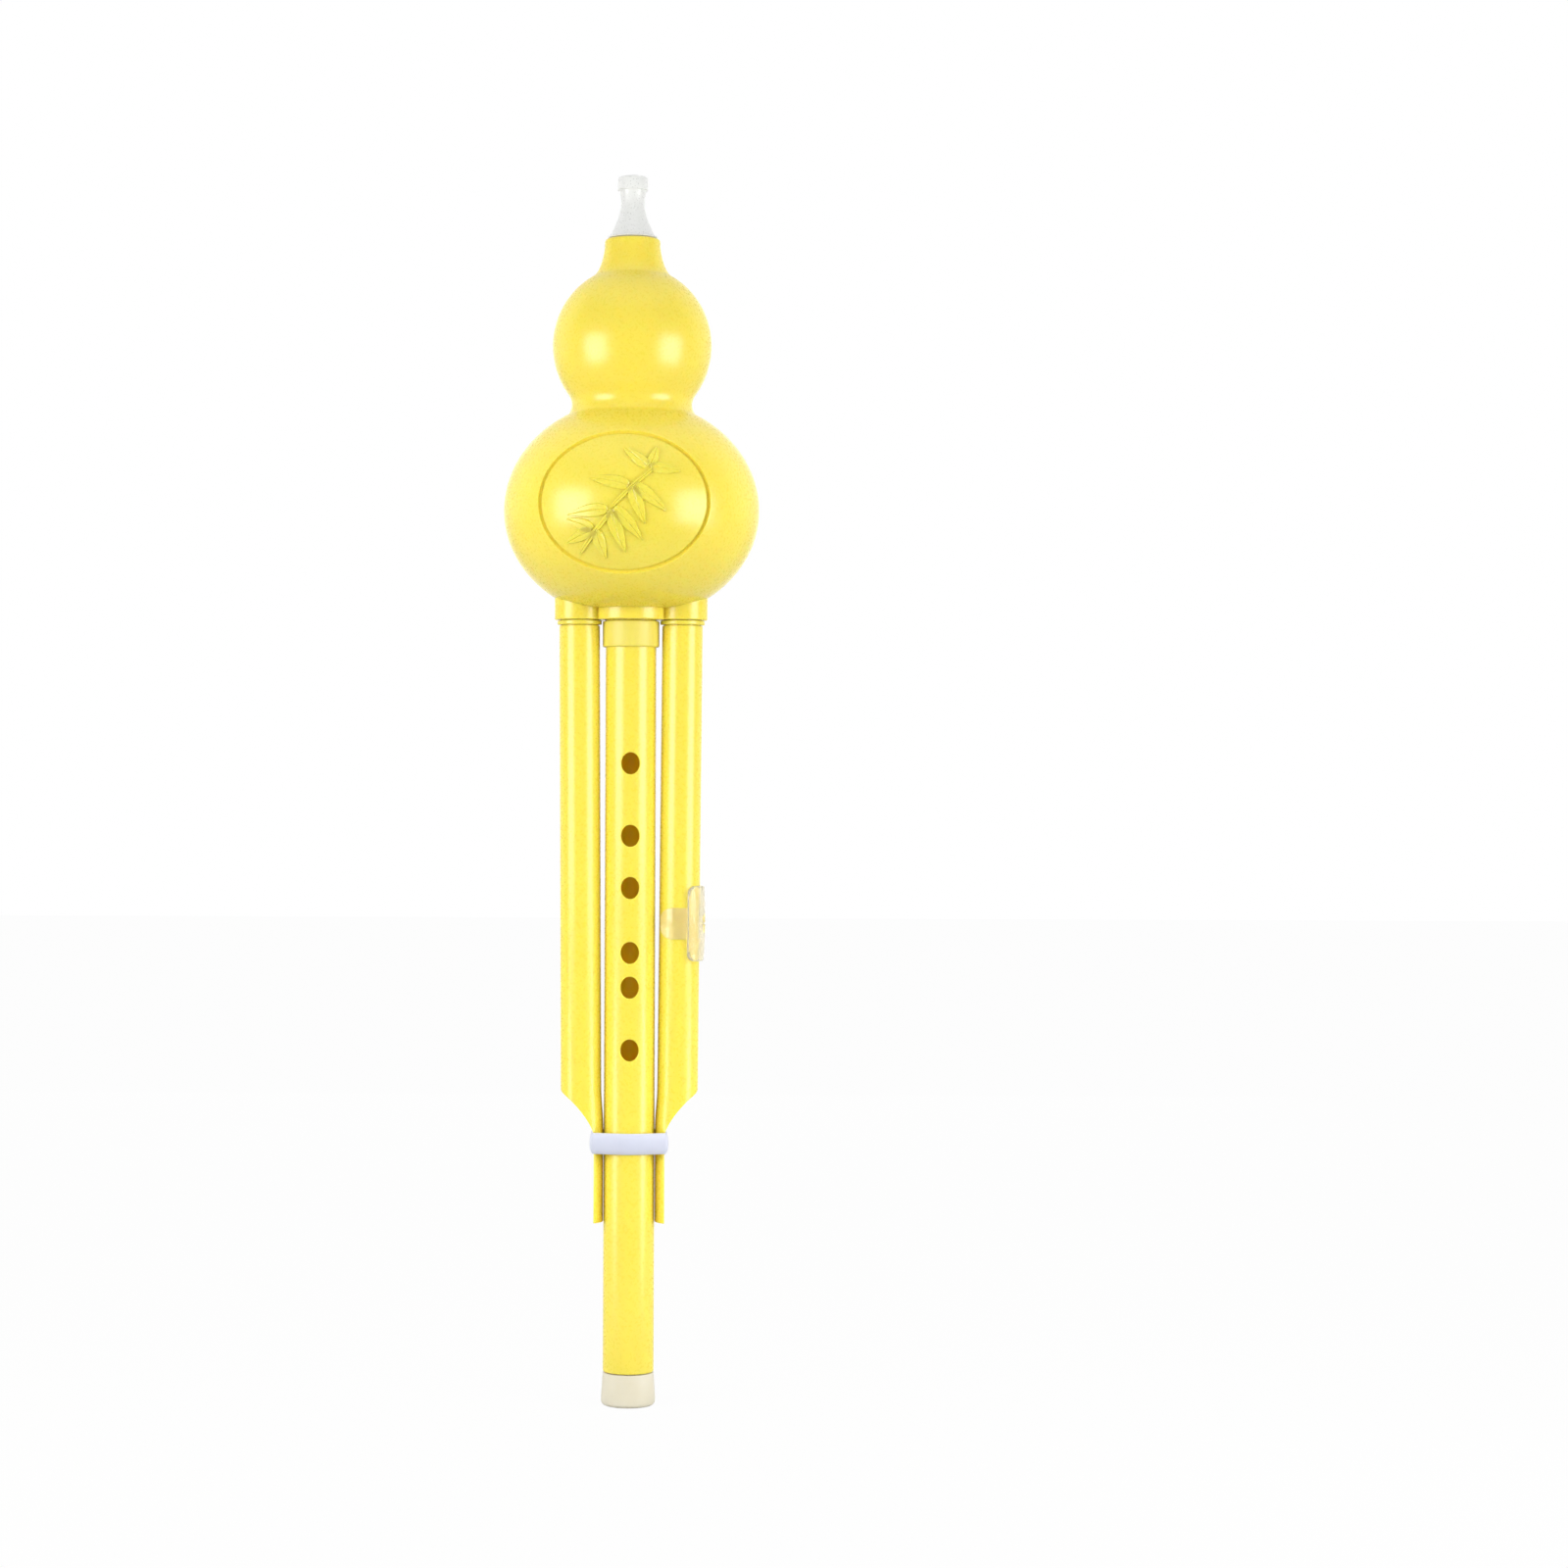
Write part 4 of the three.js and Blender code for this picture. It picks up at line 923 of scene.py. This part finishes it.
pipeBody = finished("mainPipe", makeMainPipe(), "main_pipe", "yellow_plastic", "main_pipe")
pipeBody.data.materials.append(materials["pipe_bore"])
for face in pipeBody.data.polygons:  # the bore takes the colour that paints the light seen inside the pipe
    if face.center.xy.length < (mainBore + 0.1) * mm:
        face.material_index = 1
print("main pipe made")


# Ferrule, end cap and mouthpiece
ferrule = {"gap": 0.3, "rounds": (0.5, 0.3)}
cap = {
    "flare": 0.55, "edgeRound": 1.4, "bandHeight": 2.6, "bandRound": 1.0, "floor": 2.4, "floorRound": 0.8,
    "spigotGap": 0.3, "spigotWall": 1.7, "spigotRound": 0.5, "topRound": 0.25, "headHeight": 11.2,
}
mouth = {
    "foot": 398.9, "rimRadius": 5.15, "rimHeight": 4.6, "rimStep": 0.55, "rimRound": 0.9, "stepRound": 0.2,
    "pullRadius": 3.6, "pullShares": (0.25, 0.52), "baseRadius": 8.5, "baseHeight": 0.7, "baseRound": 0.3,
    "bore": 2.4, "boreRound": 0.5, "spigotRadius": 6.7, "spigotWall": 2.3, "spigotRound": 0.6,
    "throatShare": 0.4, "throatRound": 1.0, "sealDepth": 1.2, "sealHalfHeight": 0.675, "sealShare": 0.5,
    "grooveRound": 0,
}
mouthSeal = mouth["foot"] - (mouth["foot"] - mouthLow.z) * mouth["sealShare"]


def makeFerrule():
    return sleeve("mainFerrule", mainRadius + ferrule["gap"], ferruleHigh.x, ferruleLow.z, ferruleHigh.z,
                  ferrule["rounds"], "ferrule_plastic")


def makeCap():
    c = cap
    foot = mainRadius + c["flare"]
    spigot = mainBore - c["spigotGap"]
    bore = spigot - c["spigotWall"]
    top = capHigh.z
    outline = [(0, 0), (foot, 0, c["edgeRound"]), (foot, c["bandHeight"], c["bandRound"]),
               (mainRadius, c["headHeight"], c["topRound"]), (spigot, c["headHeight"]),
               (spigot, top, c["spigotRound"]), (bore, top, c["spigotRound"]),
               (bore, c["floor"], c["floorRound"]), (0, c["floor"])]
    return turned("endCap", rounded(outline), "cream_plastic")


def makeMouthpiece():
    m = mouth
    low, foot, top = mouthLow.z, m["foot"], mouthHigh.z
    spigot, base, baseTop = m["spigotRadius"], m["baseRadius"], foot + m["baseHeight"]
    bore = spigot - m["spigotWall"]
    rimFoot = top - m["rimHeight"]
    pulls = [(m["pullRadius"], rimFoot - (rimFoot - baseTop) * share) for share in m["pullShares"]]
    flare = bend([(m["rimRadius"] - m["rimStep"], rimFoot), *pulls, (base - 2 * m["baseRound"], baseTop)],
                 steps["bend"])
    outline = [
        (bore, low, m["spigotRound"]), (spigot, low, m["spigotRound"]), *sealGroove(spigot, mouthSeal, m),
        (spigot, foot), (base, foot, m["baseRound"]), (base, baseTop, m["baseRound"]),
        *[tuple(p) for p in reversed(flare)], (m["rimRadius"], rimFoot, m["stepRound"]),
        (m["rimRadius"], top, m["rimRound"]), (m["bore"], top, m["boreRound"]),
        (m["bore"], foot + (top - foot) * m["throatShare"], m["throatRound"]), (bore, foot, m["throatRound"])]
    return turned("mouthpieceTube", ring(rounded(outline)), "frosted_plastic")


finished("mainFerrule", makeFerrule(), "main_pipe", "ferrule_plastic", "main_ferrule")
finished("endCap", makeCap(), "end_cap", "cream_plastic", "end_cap")
finished("mouthpieceTube", makeMouthpiece(), "mouthpiece", "frosted_plastic", "mouthpiece")
print("ferrule, end cap and mouthpiece made")


# Drone pipes, drawn in their own frame
drone = {
    "length": 205.9, "bore": 5.55, "spigotRadius": 6.2, "spigotWall": 1.6, "spigotLength": 17.5,
    "spigotFoot": 6, "spigotRound": 0.3, "shoulder": -2.0, "shoulderRound": 0.25, "endRound": 0.25,
    "tongueLength": 31.8, "tongueInset": 3.7, "tongueRest": 0.12, "sweepHeight": 14.2, "sweepStart": 1.1,
    "sweepPull": (-0.6, 7), "sweepRun": 1.2, "sweepRound": 1.8, "sweepRows": 24, "cornerPoint": 6,
    "soundHoleShare": 0.503, "soundHoleAngle": 150, "soundHoleSize": 4.4,
    "sealDepth": 0.9, "sealHalfHeight": 0.6, "sealShare": 0.5, "grooveRound": 0,
    "collarGap": 0.3, "collarRadius": 7.6, "collarHeight": 1.4, "collarRound": 0.3,
}
sweepFoot = drone["tongueLength"] - drone["length"]
sweepTop = sweepFoot + drone["sweepHeight"]
droneSeal = drone["spigotLength"] * drone["sealShare"]
spigotBore = drone["spigotRadius"] - drone["spigotWall"]


def sweepCutter(side):  # takes the outer side away, down to the tongue
    d = drone
    start, inset = sweepTop - d["sweepStart"], -d["tongueInset"]
    above, under, out = sweepTop + overrun / 2, -d["length"] - 2 * overrun, droneRadius + 2 * overrun
    pullX, pullDown = d["sweepPull"]
    curve = bend([(droneRadius, start), (pullX, sweepTop - pullDown), (inset, sweepFoot - d["sweepRun"])],
                 steps["bend"])[d["cornerPoint"]:]
    corner = rounded([(droneRadius, above), (droneRadius, start, d["sweepRound"]), tuple(curve[0])])[1:-1]
    path = [(out, above), (droneRadius, above), *corner, *curve, (inset, under), (out, under)]
    return prism("sweep", [(side * x, z) for x, z in path], -out, out)


def makeDrone(side, name):
    d = drone
    foot, shoulder, spigot, top = -d["length"], d["shoulder"], d["spigotRadius"], d["spigotLength"]
    low, high = sweepFoot - overrun, sweepTop + overrun

    def rowsOf(radius):  # many rows where the tongue bends
        ends = Vector((radius, low)), Vector((radius, high))
        return [tuple(p) for p in [ends[0], *spread(*ends, d["sweepRows"]), ends[1]]]

    outline = [
        (droneRadius, foot, d["endRound"]), *rowsOf(droneRadius), (droneRadius, shoulder, d["shoulderRound"]),
        (spigot, shoulder), *sealGroove(spigot, droneSeal, d), (spigot, top, d["spigotRound"]),
        (spigotBore, top, d["spigotRound"]), (spigotBore, shoulder - d["spigotFoot"]),
        (d["bore"], shoulder - d["spigotFoot"]), *reversed(rowsOf(d["bore"])), (d["bore"], foot)]
    tools = [sweepCutter(side)]
    if side > 0:
        tools.append(soundHoleCutter())
    pipe = carved(turned(name, ring(rounded(outline))), tools)
    rest = (droneSpacing - droneRadius - mainRadius - d["tongueRest"]) * mm
    for point in pipe.vertices:  # the band draws the tongue in, close to the main pipe
        share = min(1, max(0, (sweepTop - point.co.z / mm) / (sweepTop - sweepFoot)))
        gap = rest + point.co.z * math.tan(droneTilt)
        point.co.x -= side * gap * share * share * (3 - 2 * share)
    return atDrone(pipe, side)


def soundHoleCutter():
    d = drone
    cutter = turned("soundHole", rod(d["soundHoleSize"] / 2, 0, droneRadius + overrun),
                    sides=steps["holeSides"])
    turn = Matrix.Rotation(math.radians(d["soundHoleAngle"]), 4, "Z") @ Matrix.Rotation(math.pi / 2, 4, "X")
    cutter.transform(Matrix.Translation((0, 0, -d["length"] * d["soundHoleShare"] * mm)) @ turn)
    return cutter


def makeCollar(side):
    d = drone
    low = d["shoulder"] + d["collarGap"]
    collar = sleeve("collar", d["spigotRadius"] + d["collarGap"], d["collarRadius"],
                    low, low + d["collarHeight"], (d["collarRound"], d["collarRound"]), "yellow_plastic")
    return atDrone(collar, side)


for word, side in hands.items():
    body = f"{word}_drone"
    finished(f"{word}DronePipe", makeDrone(side, body), body, "yellow_plastic", f"{word}_drone_pipe")
    finished(f"{word}DroneCollar", makeCollar(side), body, "yellow_plastic", f"{word}_drone_collar")
print("drone pipes made")


# Seal rings, reed holders and the stopper, which show when the pipes are pulled
seal = {"gap": 0.15, "sides": 72, "sectionSides": 16}
reeds = {
    "main": {"radius": 7.3, "length": 34, "plateWidth": 7, "plateLength": 26, "plug": 10},
    "drone": {"radius": 5.4, "length": 26, "plateWidth": 5.4, "plateLength": 19, "plug": 8},
    "seatGap": 0.3, "wall": 1.6, "flatShare": 0.62, "tipShare": 0.12, "tipRadiusShare": 0.5,
    "sideShare": 0.26, "endShare": 0.14, "round": 0.4,
}
stopper = {"headHeight": 5, "headRadius": 5.6, "plug": 8, "plugRound": 0.5, "footRound": 0.3, "round": 0.8}


def sealRing(bore, groove, height):
    section = (bore - groove) / 2 - seal["gap"]
    outline = ellipseArc(bore - seal["gap"] - section, height, section, section, 0, 2 * math.pi,
                         seal["sectionSides"])[:-1]
    return turned("seal", ring(outline), "seal_rubber", seal["sides"])


def reedHolder(name, reed, seat, bore):
    r = reeds
    gap, soft, radius = r["seatGap"], r["round"], reed["radius"]
    foot, plugFoot = seat + gap, seat - reed["plug"]
    high = foot + reed["length"]
    tip = reed["length"] * r["tipShare"]
    channel = bore - gap - r["wall"]
    outline = [(channel, plugFoot), (bore - gap, plugFoot, soft), (bore - gap, foot), (radius, foot, soft),
               (radius, high - tip, soft), (radius * r["tipRadiusShare"], high, soft), (0, high),
               (0, high - tip), (channel, high - tip)]
    low = foot + tip
    top = low + reed["plateLength"]
    out, flat = 3 * radius, radius * r["flatShare"]
    rim = reed["plateLength"] * r["endShare"]
    half = reed["plateWidth"] * (0.5 - r["sideShare"])
    holder = turned(name, ring(rounded(outline)), "holder_plastic", steps["smallSides"])
    return carved(holder, [block(out, low - gap, top + gap, -out, -flat),
                           block(half, low + rim, top - rim, -out, 0)])


def makeStopper():
    s = stopper
    plug = spigotBore - reeds["seatGap"]
    seat = drone["spigotLength"] + reeds["seatGap"]
    outline = [(0, seat - s["plug"]), (plug, seat - s["plug"], s["plugRound"]), (plug, seat),
               (s["headRadius"], seat, s["footRound"]), (s["headRadius"], seat + s["headHeight"], s["round"]),
               (0, seat + s["headHeight"])]
    return atDrone(turned("leftDroneStopper", rounded(outline), "holder_plastic", steps["smallSides"]), -1)


def makeInside():
    for height, word in zip(sealHeights, ("Lower", "Upper")):
        made = sealRing(socket["mainBore"], mainRadius - mainPipe["sealDepth"], height)
        finished(f"mainSealRing{word}", made, "main_seals", "seal_rubber", f"main_seal_ring_{word.lower()}")
    made = sealRing(gourd["neckBore"], mouth["spigotRadius"] - mouth["sealDepth"], mouthSeal)
    finished("mouthpieceSealRing", made, "mouthpiece", "seal_rubber", "mouthpiece_seal_ring")
    for word, side in hands.items():
        made = sealRing(socket["droneBore"], drone["spigotRadius"] - drone["sealDepth"], droneSeal)
        finished(f"{word}DroneSealRing", atDrone(made, side), f"{word}_drone", "seal_rubber",
                 f"{word}_drone_seal_ring")
    made = reedHolder("mainReedHolder", reeds["main"], mainPipeHigh.z, mainBore)
    finished("mainReedHolder", made, "main_pipe", "holder_plastic", "main_reed_holder")
    made = atDrone(reedHolder("rightDroneReedHolder", reeds["drone"], drone["spigotLength"], spigotBore), 1)
    finished("rightDroneReedHolder", made, "right_drone", "holder_plastic", "right_drone_reed_holder")
    finished("leftDroneStopper", makeStopper(), "left_drone", "holder_plastic", "left_drone_stopper")


makeInside()
for node in ("main_reed_plate", "right_drone_reed_plate"):  # flat brass plates keep their CAD shape
    nodes[node].data.materials.clear()
    nodes[node].data.materials.append(materials["reed_brass"])
print("seals, reeds and stopper made")


# Elastic band: Geometry Nodes sweep a rounded, bulging section along its path
band = {
    "wall": 1.3, "cornerRadius": 0.6, "gap": 0.3, "edgeRound": 0.12, "bulge": 0.95, "roundSteps": 3,
    "cornerSteps": 10, "frontSteps": 8, "fineCuts": 9, "crownPower": 0.6,
}


def sweptTree():
    tree, given = newTree("swept band", [
        ("Thickness", "NodeSocketFloat", 0.001), ("Height", "NodeSocketFloat", 0.007),
        ("Edge Round", "NodeSocketFloat", 0.0004), ("Bulge", "NodeSocketFloat", 0.0003),
        ("Round Steps", "NodeSocketInt", 4), ("Material", "NodeSocketMaterial", None)])
    value = given.outputs
    path = addNode(tree, "GeometryNodeMeshToCurve", {"Mesh": value["Geometry"]})
    upright = addNode(tree, "GeometryNodeSetCurveNormal", {"Curve": path}, mode="Z_UP")
    section = addNode(tree, "GeometryNodeCurvePrimitiveQuadrilateral",
                      {"Width": value["Thickness"], "Height": value["Height"]})
    soft = addNode(tree, "GeometryNodeFilletCurve",
                   {"Curve": section, "Radius": value["Edge Round"], "Count": value["Round Steps"]},
                   mode="POLY")
    fine = addNode(tree, "GeometryNodeSubdivideCurve", {"Curve": soft, "Cuts": band["fineCuts"]})
    spot = addNode(tree, "ShaderNodeSeparateXYZ", {0: addNode(tree, "GeometryNodeInputPosition")})
    known = {"x": spot.outputs[0], "y": spot.outputs[1], "height": value["Height"], "bulge": value["Bulge"]}
    reckonAll(tree, known, (
        ("share", "DIVIDE", "y", "height"), ("square", "MULTIPLY", "share", "share"),
        ("crown", "MULTIPLY_ADD", "square", -4.0, 1.0), ("full", "POWER", "crown", band["crownPower"]),
        ("swell", "MULTIPLY", "full", "bulge"), ("outside", "GREATER_THAN", "x", 0.0),
        ("shift", "MULTIPLY", "swell", "outside")))
    offset = addNode(tree, "ShaderNodeCombineXYZ", {0: known["shift"]})
    bulged = addNode(tree, "GeometryNodeSetPosition", {"Geometry": fine, "Offset": offset})
    swept = addNode(tree, "GeometryNodeCurveToMesh",
                    {"Curve": upright, "Profile Curve": bulged, "Fill Caps": True})
    return closeTree(tree, given, swept)


def bandPath():  # a quarter, round a tongue and over the main pipe, mirrored twice
    b = band
    offset = (b["wall"] - b["bulge"]) / 2
    around = mainRadius + b["gap"]
    across = bandHigh.x - b["wall"] - b["cornerRadius"]
    deep = math.sqrt(droneRadius ** 2 - drone["tongueInset"] ** 2) + b["gap"] - b["cornerRadius"]
    tangent = math.atan2(deep, across) + math.acos((around - b["cornerRadius"]) / math.hypot(across, deep))
    corner, over = b["cornerRadius"] + offset, around + offset
    quarter = [*ellipseArc(across, deep, corner, corner, 0, tangent, b["cornerSteps"]),
               *ellipseArc(0, 0, over, over, tangent, math.pi / 2, b["frontSteps"])]
    path = quarter + [Vector((-x, y)) for x, y in reversed(quarter[:-1])]
    return path + [-p for p in path]


def makeBand():
    base = bpy.data.meshes.new("path")
    height = (bandLow.z + bandHigh.z) / 2
    path = [(x * mm, y * mm, height * mm) for x, y in bandPath()]
    base.from_pydata(path, [(i, (i + 1) % len(path)) for i in range(len(path))], [])
    values = {"Thickness": (band["wall"] - band["bulge"]) * mm, "Height": (bandHigh.z - bandLow.z) * mm,
              "Edge Round": band["edgeRound"] * mm, "Bulge": band["bulge"] * mm,
              "Round Steps": band["roundSteps"], "Material": materials["band_silicone"]}
    return tidied(madeBy(sweptTree(), "elasticBand", base, values))


finished("elasticBand", makeBand(), "band", "band_silicone", "elastic_band")
print("elastic band made")


# Drone clip, drawn in the right drone's frame; angles run from the front round the outer side
clip = {
    "bore": 7.25, "strapWall": 0.6, "strapHeight": 10.7, "frontAngle": -60, "backAngle": 180,
    "tipLength": 5, "tipBlunt": 0.04, "edgeRound": 0.3, "innerRoundShare": 0.6,
    "tipSteps": 14, "strapSteps": 60, "sectionSteps": 3, "cornerSteps": 10, "padHeight": 25.7,
    "padWall": 1.2, "padCrown": 0.5, "padHalfWidth": 7.9, "padCorner": 2.4, "padEdge": 0.5,
    "padInset": 0.12, "padLip": 0.2, "padSpacing": 1.2, "crownRings": 8, "edgeRings": 4,
    "backRings": (0.98, 0.75, 0.5, 0.25), "notchWidth": 0.7, "notchDepth": 0.5,
}


def clipPoint(angle, radius, height):
    return radius * math.sin(angle), -radius * math.cos(angle), height


def clipStrap(middle):
    c = clip
    start, end = math.radians(c["frontAngle"]), math.radians(c["backAngle"])
    tip = c["tipLength"] / c["bore"]
    turns = [start + tip * (1 - math.cos(math.pi / 2 * i / c["tipSteps"])) for i in range(c["tipSteps"] + 1)]
    turns += [start + tip + (end - start - tip) * i / c["strapSteps"] for i in range(1, c["strapSteps"] + 1)]
    inner, outer = c["bore"], c["bore"] + c["strapWall"]
    points, rows = [], []
    for turn in turns:
        share = min(1, (turn - start) / tip)
        fullness = math.sqrt(max(0.0, 1 - (1 - share) ** 2)) * (1 - c["tipBlunt"]) + c["tipBlunt"]
        reach = c["strapHeight"] / 2 * fullness
        soft = min(c["edgeRound"], reach / 2)
        inSoft = soft * c["innerRoundShare"]
        section = rounded([(inner, -reach, inSoft), (outer, -reach, soft), (outer, reach, soft),
                           (inner, reach, inSoft)], c["sectionSteps"])
        rows.append(addPoints(points, [clipPoint(turn, p.x, middle + p.y) for p in section]))
    return stacked("strap", points, rows)


def clipPad(middle):
    c = clip
    corner = c["padCorner"]
    halfY, halfZ = c["padHalfWidth"], c["padHeight"] / 2
    outline = rounded([(halfY, -halfZ, corner), (halfY, halfZ, corner),
                       (-halfY, halfZ, corner), (-halfY, -halfZ, corner)], c["cornerSteps"])
    border = []
    for a, b in zip(outline, [*outline[1:], outline[0]]):
        border += [a, *spread(a, b, max(1, round((b - a).length / c["padSpacing"])))]
    inner = c["bore"] - c["padInset"]
    end = c["bore"] + c["padWall"]
    halfTurn = math.asin(halfY / end)
    points = []

    def loop(share, radiusOf):
        spots = [(p.x * share / halfY, p.y * share) for p in border]
        return addPoints(points, [clipPoint(math.pi / 2 + across * halfTurn, radiusOf(across, z), middle + z)
                                  for across, z in spots])

    def crowned(across, z):
        return end + c["padCrown"] * (1 - (z / halfZ) ** 2) * (1 - across ** 2)

    edge, rings = c["padEdge"], c["crownRings"]
    rows = [loop(k / rings, crowned) for k in range(1, rings)]
    for k in range(c["edgeRings"] + 1):
        a = math.pi / 2 * k / c["edgeRings"]
        drop = edge * (1 - math.cos(a))
        share = 1 - edge * (1 - math.sin(a)) / halfY
        rows.append(loop(share, lambda across, z: crowned(across, z) - drop))
    rows.append(loop(1, lambda across, z: inner + c["padLip"]))
    rows += [loop(share, lambda across, z: inner) for share in c["backRings"]]
    return stacked("pad", points, rows)


def makeClip():
    c = clip
    middle = -drone["length"] * drone["soundHoleShare"]
    radius = c["bore"] + c["padWall"] + c["padCrown"]
    out, deep, half = radius + overrun / 2, radius - c["notchDepth"], c["notchWidth"] / 2
    groove = ring([(deep, middle - half / 2), (out, middle - half),
                   (out, middle + half), (deep, middle + half / 2)])
    strap = carved(clipStrap(middle), [clipPad(middle)], "UNION")
    return atDrone(carved(strap, [turned("notch", groove, "clear_plastic")]), 1)


finished("droneClip", makeClip(), "clip", "clear_plastic", "drone_clip")
print("drone clip made")


# Studio: white paper below and behind, a soft box and a low strip on either side in front, a weak
# soft box behind, and the camera straight in front. A light is its name, bearing from the front in
# degrees, distance, height of its middle, width, height, power in watts and cone in degrees.
studio = {
    "cameraDistance": 1100, "cameraHeight": 212.3, "lens": 73.76, "shift": 0.0979, "roll": 0.235,
    "floorHalfWidth": 3000, "floorFront": -350, "floorBack": 4000,
    "paperColour": "BEBEBC", "paperGlow": 0.97, "paperMirrored": 0.45, "ambient": (0.2, 1.0), "room": 0.1,
    "whiteBehind": (0.0, 0.35), "whiteAbove": (0.7, 0.86),
    "boxes": (("leftSoftBox", -53.5, 460, 306, 275, 275, 1.78, 180),
              ("rightSoftBox", 56.5, 480, 294, 285, 285, 1.88, 180),
              ("leftFootStrip", -66, 460, 56, 175, 100, 0.035, 46),
              ("rightFootStrip", 66, 460, 56, 175, 100, 0.043, 46),
              ("backFillBox", 180, 1100, 300, 900, 900, 1.8, 180)),
}


def kindsOfRay(tree):  # rays that see the surroundings clearly, and rays that mirror them
    rays = addNode(tree, "ShaderNodeLightPath").outputs
    known = {"camera": rays["Is Camera Ray"], "through": rays["Is Transmission Ray"],
             "glossy": rays["Is Glossy Ray"]}
    return reckonAll(tree, known, [("clearly", "MAXIMUM", "camera", "through")])


def makeFloor():
    s = studio
    across, front, back = s["floorHalfWidth"], s["floorFront"], s["floorBack"]
    corners = [(-across, front, 0), (across, front, 0), (across, back, 0), (-across, back, 0)]
    floor = looseObject(meshOf("studioFloor", corners, [(0, 1, 2, 3)]))
    material = bpy.data.materials.new("mattWhiteStudioPaper")
    tree = emptyTree(material)
    paper = addNode(tree, "ShaderNodeBsdfDiffuse", {"Color": linear(s["paperColour"])})
    glow = addNode(tree, "ShaderNodeEmission", {"Color": linear("FFFFFF"), "Strength": 1.0})
    known = reckonAll(tree, kindsOfRay(tree), (
        ("straight", "MULTIPLY", "clearly", s["paperGlow"]),
        ("mirrored", "MULTIPLY", "glossy", s["paperMirrored"]), ("lift", "MAXIMUM", "straight", "mirrored")))
    mixed = addNode(tree, "ShaderNodeMixShader", {0: known["lift"], 1: paper, 2: glow})
    addNode(tree, "ShaderNodeOutputMaterial", {"Surface": mixed})
    floor.data.materials.append(material)


# White to look at. What glossy plastic mirrors is white behind and above, and a dark room in front.
# Everything else is lit more from above than from below.
def makeWorld():
    world = bpy.data.worlds.new("studio")
    bpy.context.scene.world = world
    tree = emptyTree(world)
    way = addNode(tree, "ShaderNodeTexCoord").outputs["Generated"]
    parts = addNode(tree, "ShaderNodeSeparateXYZ", {0: way}).outputs
    known = reckonAll(tree, {**kindsOfRay(tree), "back": parts[1], "up": parts[2]}, (
        ("behind", "SMOOTHSTEP", "back", *studio["whiteBehind"], 0.0, 1.0),
        ("above", "SMOOTHSTEP", "up", *studio["whiteAbove"], 0.0, 1.0),
        ("white", "MAXIMUM", "behind", "above"),
        ("mirrored", "LINEAR", "white", 0.0, 1.0, studio["room"], 1.0),
        ("soft", "LINEAR", "up", 0.0, 1.0, *studio["ambient"]),
        ("plain", "LINEAR", "clearly", 0.0, 1.0, "soft", 1.0),
        ("strength", "LINEAR", "glossy", 0.0, 1.0, "plain", "mirrored")))
    light = addNode(tree, "ShaderNodeBackground", {"Color": linear("FFFFFF"), "Strength": known["strength"]})
    addNode(tree, "ShaderNodeOutputWorld", {"Surface": light})


def makeLights():
    for name, bearing, distance, middle, width, height, power, cone in studio["boxes"]:
        lamp = bpy.data.lights.new(name, "AREA")
        lamp.shape, lamp.size, lamp.size_y, lamp.energy = "RECTANGLE", width * mm, height * mm, power
        lamp.spread = math.radians(cone)
        box = bpy.data.objects.new(name, lamp)
        bpy.context.scene.collection.objects.link(box)
        turn = math.radians(bearing)
        box.location = Vector((math.sin(turn) * distance, -math.cos(turn) * distance, middle)) * mm
        box.rotation_euler = (math.pi / 2, 0, turn)
        box.visible_camera = False


def makeCamera():
    lens = bpy.data.cameras.new("photoCamera")
    lens.lens, lens.shift_x = studio["lens"], studio["shift"]
    camera = bpy.data.objects.new("photoCamera", lens)
    bpy.context.scene.collection.objects.link(camera)
    level = Matrix.Rotation(math.pi / 2, 4, "X") @ Matrix.Rotation(math.radians(studio["roll"]), 4, "Z")
    camera.matrix_world = Matrix.Translation(
        (0, -studio["cameraDistance"] * mm, studio["cameraHeight"] * mm)) @ level
    bpy.context.scene.camera = camera


makeFloor()
makeWorld()
makeLights()
makeCamera()
bpy.context.scene.view_settings.view_transform = "Standard"
print("studio made")
